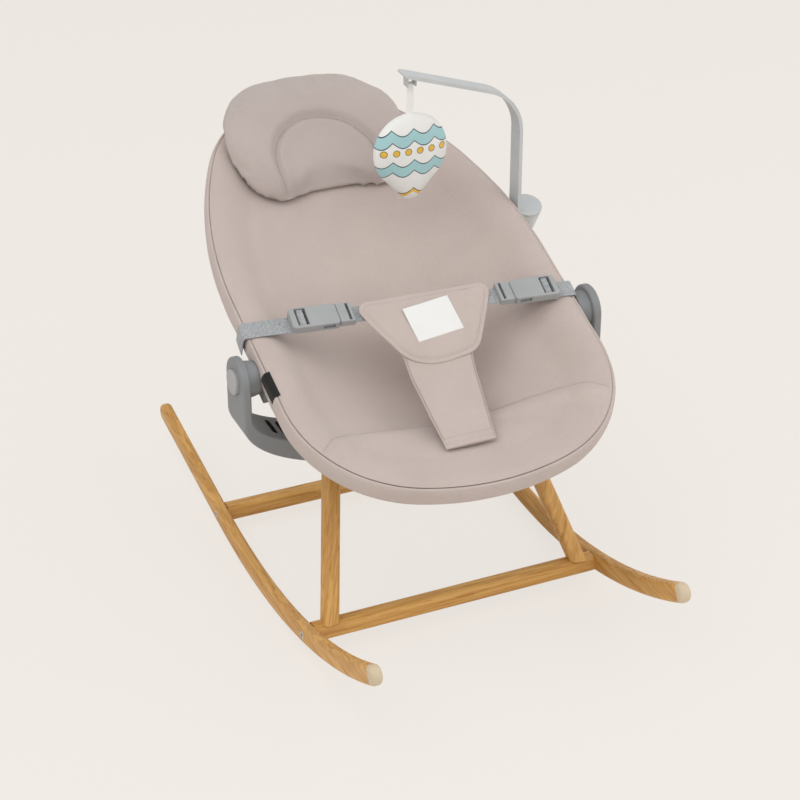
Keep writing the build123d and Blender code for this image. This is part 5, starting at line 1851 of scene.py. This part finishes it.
@dataclass
class Studio:
    """Floor, lights and camera."""

    backdrop: Colour = srgb(239, 234, 228)
    air: Colour = (1.0, 0.985, 0.965, 1.0)
    air_strength: float = 0.68
    floor_share: float = 0.85
    lamps: tuple[tuple[str, tuple[float, float, float], float, float], ...] = (
        ("key", (-1.5, -0.4, 2.7), 2.6, 30.0),
        ("fill", (2.4, -0.6, 1.8), 2.4, 17.0),
        ("front", (0.2, -1.9, 1.7), 2.6, 13.0),
    )
    target: tuple[float, float, float] = (-0.0081, -0.003, 0.237)
    azimuth: float = math.radians(-23.7627)
    elevation: float = math.radians(30.1496)
    distance: float = 2.7802
    lens: float = 99.0
    sensor: float = 36.0

    def build(self) -> None:
        """Set up the studio."""
        scene = bpy.context.scene
        scene.view_settings.view_transform = "Standard"
        self.build_floor()
        self.build_world(scene)
        self.build_lights()
        self.build_camera(scene)

    def show_card(self, nodes: Nodes, lit: Socket, card: Socket, end: str, share: float = 1.0) -> None:
        """Let the camera see a plain card in place of what the light falls on.

        Args:
            nodes: Nodes of the floor or the world.
            lit: Shader for the light.
            card: Shader of the card.
            end: Name of the output node.
            share: Share of the card in what the camera sees.
        """
        ray = nodes.add("ShaderNodeLightPath").outputs["Is Camera Ray"]
        mix = nodes.add("ShaderNodeMixShader", Fac=nodes.math("MULTIPLY", ray, share))
        nodes.link(lit, mix.inputs[1])
        nodes.link(card, mix.inputs[2])
        nodes.fill(nodes.tree.nodes[end], Surface=mix.outputs["Shader"])

    def build_floor(self) -> None:
        """Pale floor that keeps a soft shadow."""
        deselect()
        bpy.ops.mesh.primitive_plane_add(size=40.0, location=(0, 0, -0.0005))
        floor = bpy.context.object
        floor.name = "floor"
        bpy.ops.object.mode_set(mode="EDIT")
        bpy.ops.mesh.subdivide(number_cuts=3)
        bpy.ops.object.mode_set(mode="OBJECT")
        bpy.ops.object.transform_apply(location=True)
        material = bpy.data.materials.new("floor_paint")
        nodes = Nodes.of(material)
        shader = nodes.tree.nodes["Principled BSDF"]
        nodes.fill(shader, Base_Color=self.backdrop, Roughness=0.9, Specular_IOR_Level=0.0)
        glow = nodes.add("ShaderNodeEmission", Color=self.backdrop).outputs["Emission"]
        self.show_card(nodes, shader.outputs["BSDF"], glow, "Material Output", self.floor_share)
        floor.data.materials.append(material)

    def build_world(self, scene: bpy.types.Scene) -> None:
        """Even light from all round, with the backdrop's colour for the camera.

        Args:
            scene: Scene to light.
        """
        scene.world = bpy.data.worlds.new("studio_air")
        nodes = Nodes.of(scene.world)
        air = nodes.fill(nodes.tree.nodes["Background"], Color=self.air, Strength=self.air_strength)
        card = nodes.add("ShaderNodeBackground", Color=self.backdrop)
        self.show_card(nodes, air.outputs["Background"], card.outputs["Background"], "World Output")

    def build_lights(self) -> None:
        """Large soft key from the left, a fill from the right and a panel in front."""
        for name, place, size, power in self.lamps:
            lamp = bpy.data.lights.new(name, "AREA")
            lamp.size = size
            lamp.energy = power
            obj = add_object(name, lamp)
            obj.location = place
            aim = Vector(self.target) - Vector(place)
            obj.rotation_euler = aim.to_track_quat("-Z", "Y").to_euler()

    def build_camera(self, scene: bpy.types.Scene) -> None:
        """Camera at the photograph's angle.

        Args:
            scene: Scene that is seen.
        """
        lens = bpy.data.cameras.new("camera")
        lens.lens = self.lens
        lens.sensor_width = self.sensor
        lens.sensor_fit = "HORIZONTAL"
        camera = add_object("camera", lens)
        flat = Vector((math.sin(self.azimuth), -math.cos(self.azimuth), 0)) * math.cos(self.elevation)
        back = flat + Vector((0, 0, math.sin(self.elevation)))
        camera.location = Vector(self.target) + back * self.distance
        camera.rotation_euler = (-back).to_track_quat("-Z", "Y").to_euler()
        scene.camera = camera


def main() -> None:
    """Build the object and the studio in order."""
    logging.basicConfig(level=logging.INFO, format="%(message)s")
    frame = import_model()
    deselect()
    paint = Paint()
    Studio().build()
    RockerBase(frame, paint).build()
    SeatCover(frame, paint).build()
    Harness(frame, paint).build()
    Toy(frame, paint).build()


if __name__ == "__main__":
    main()
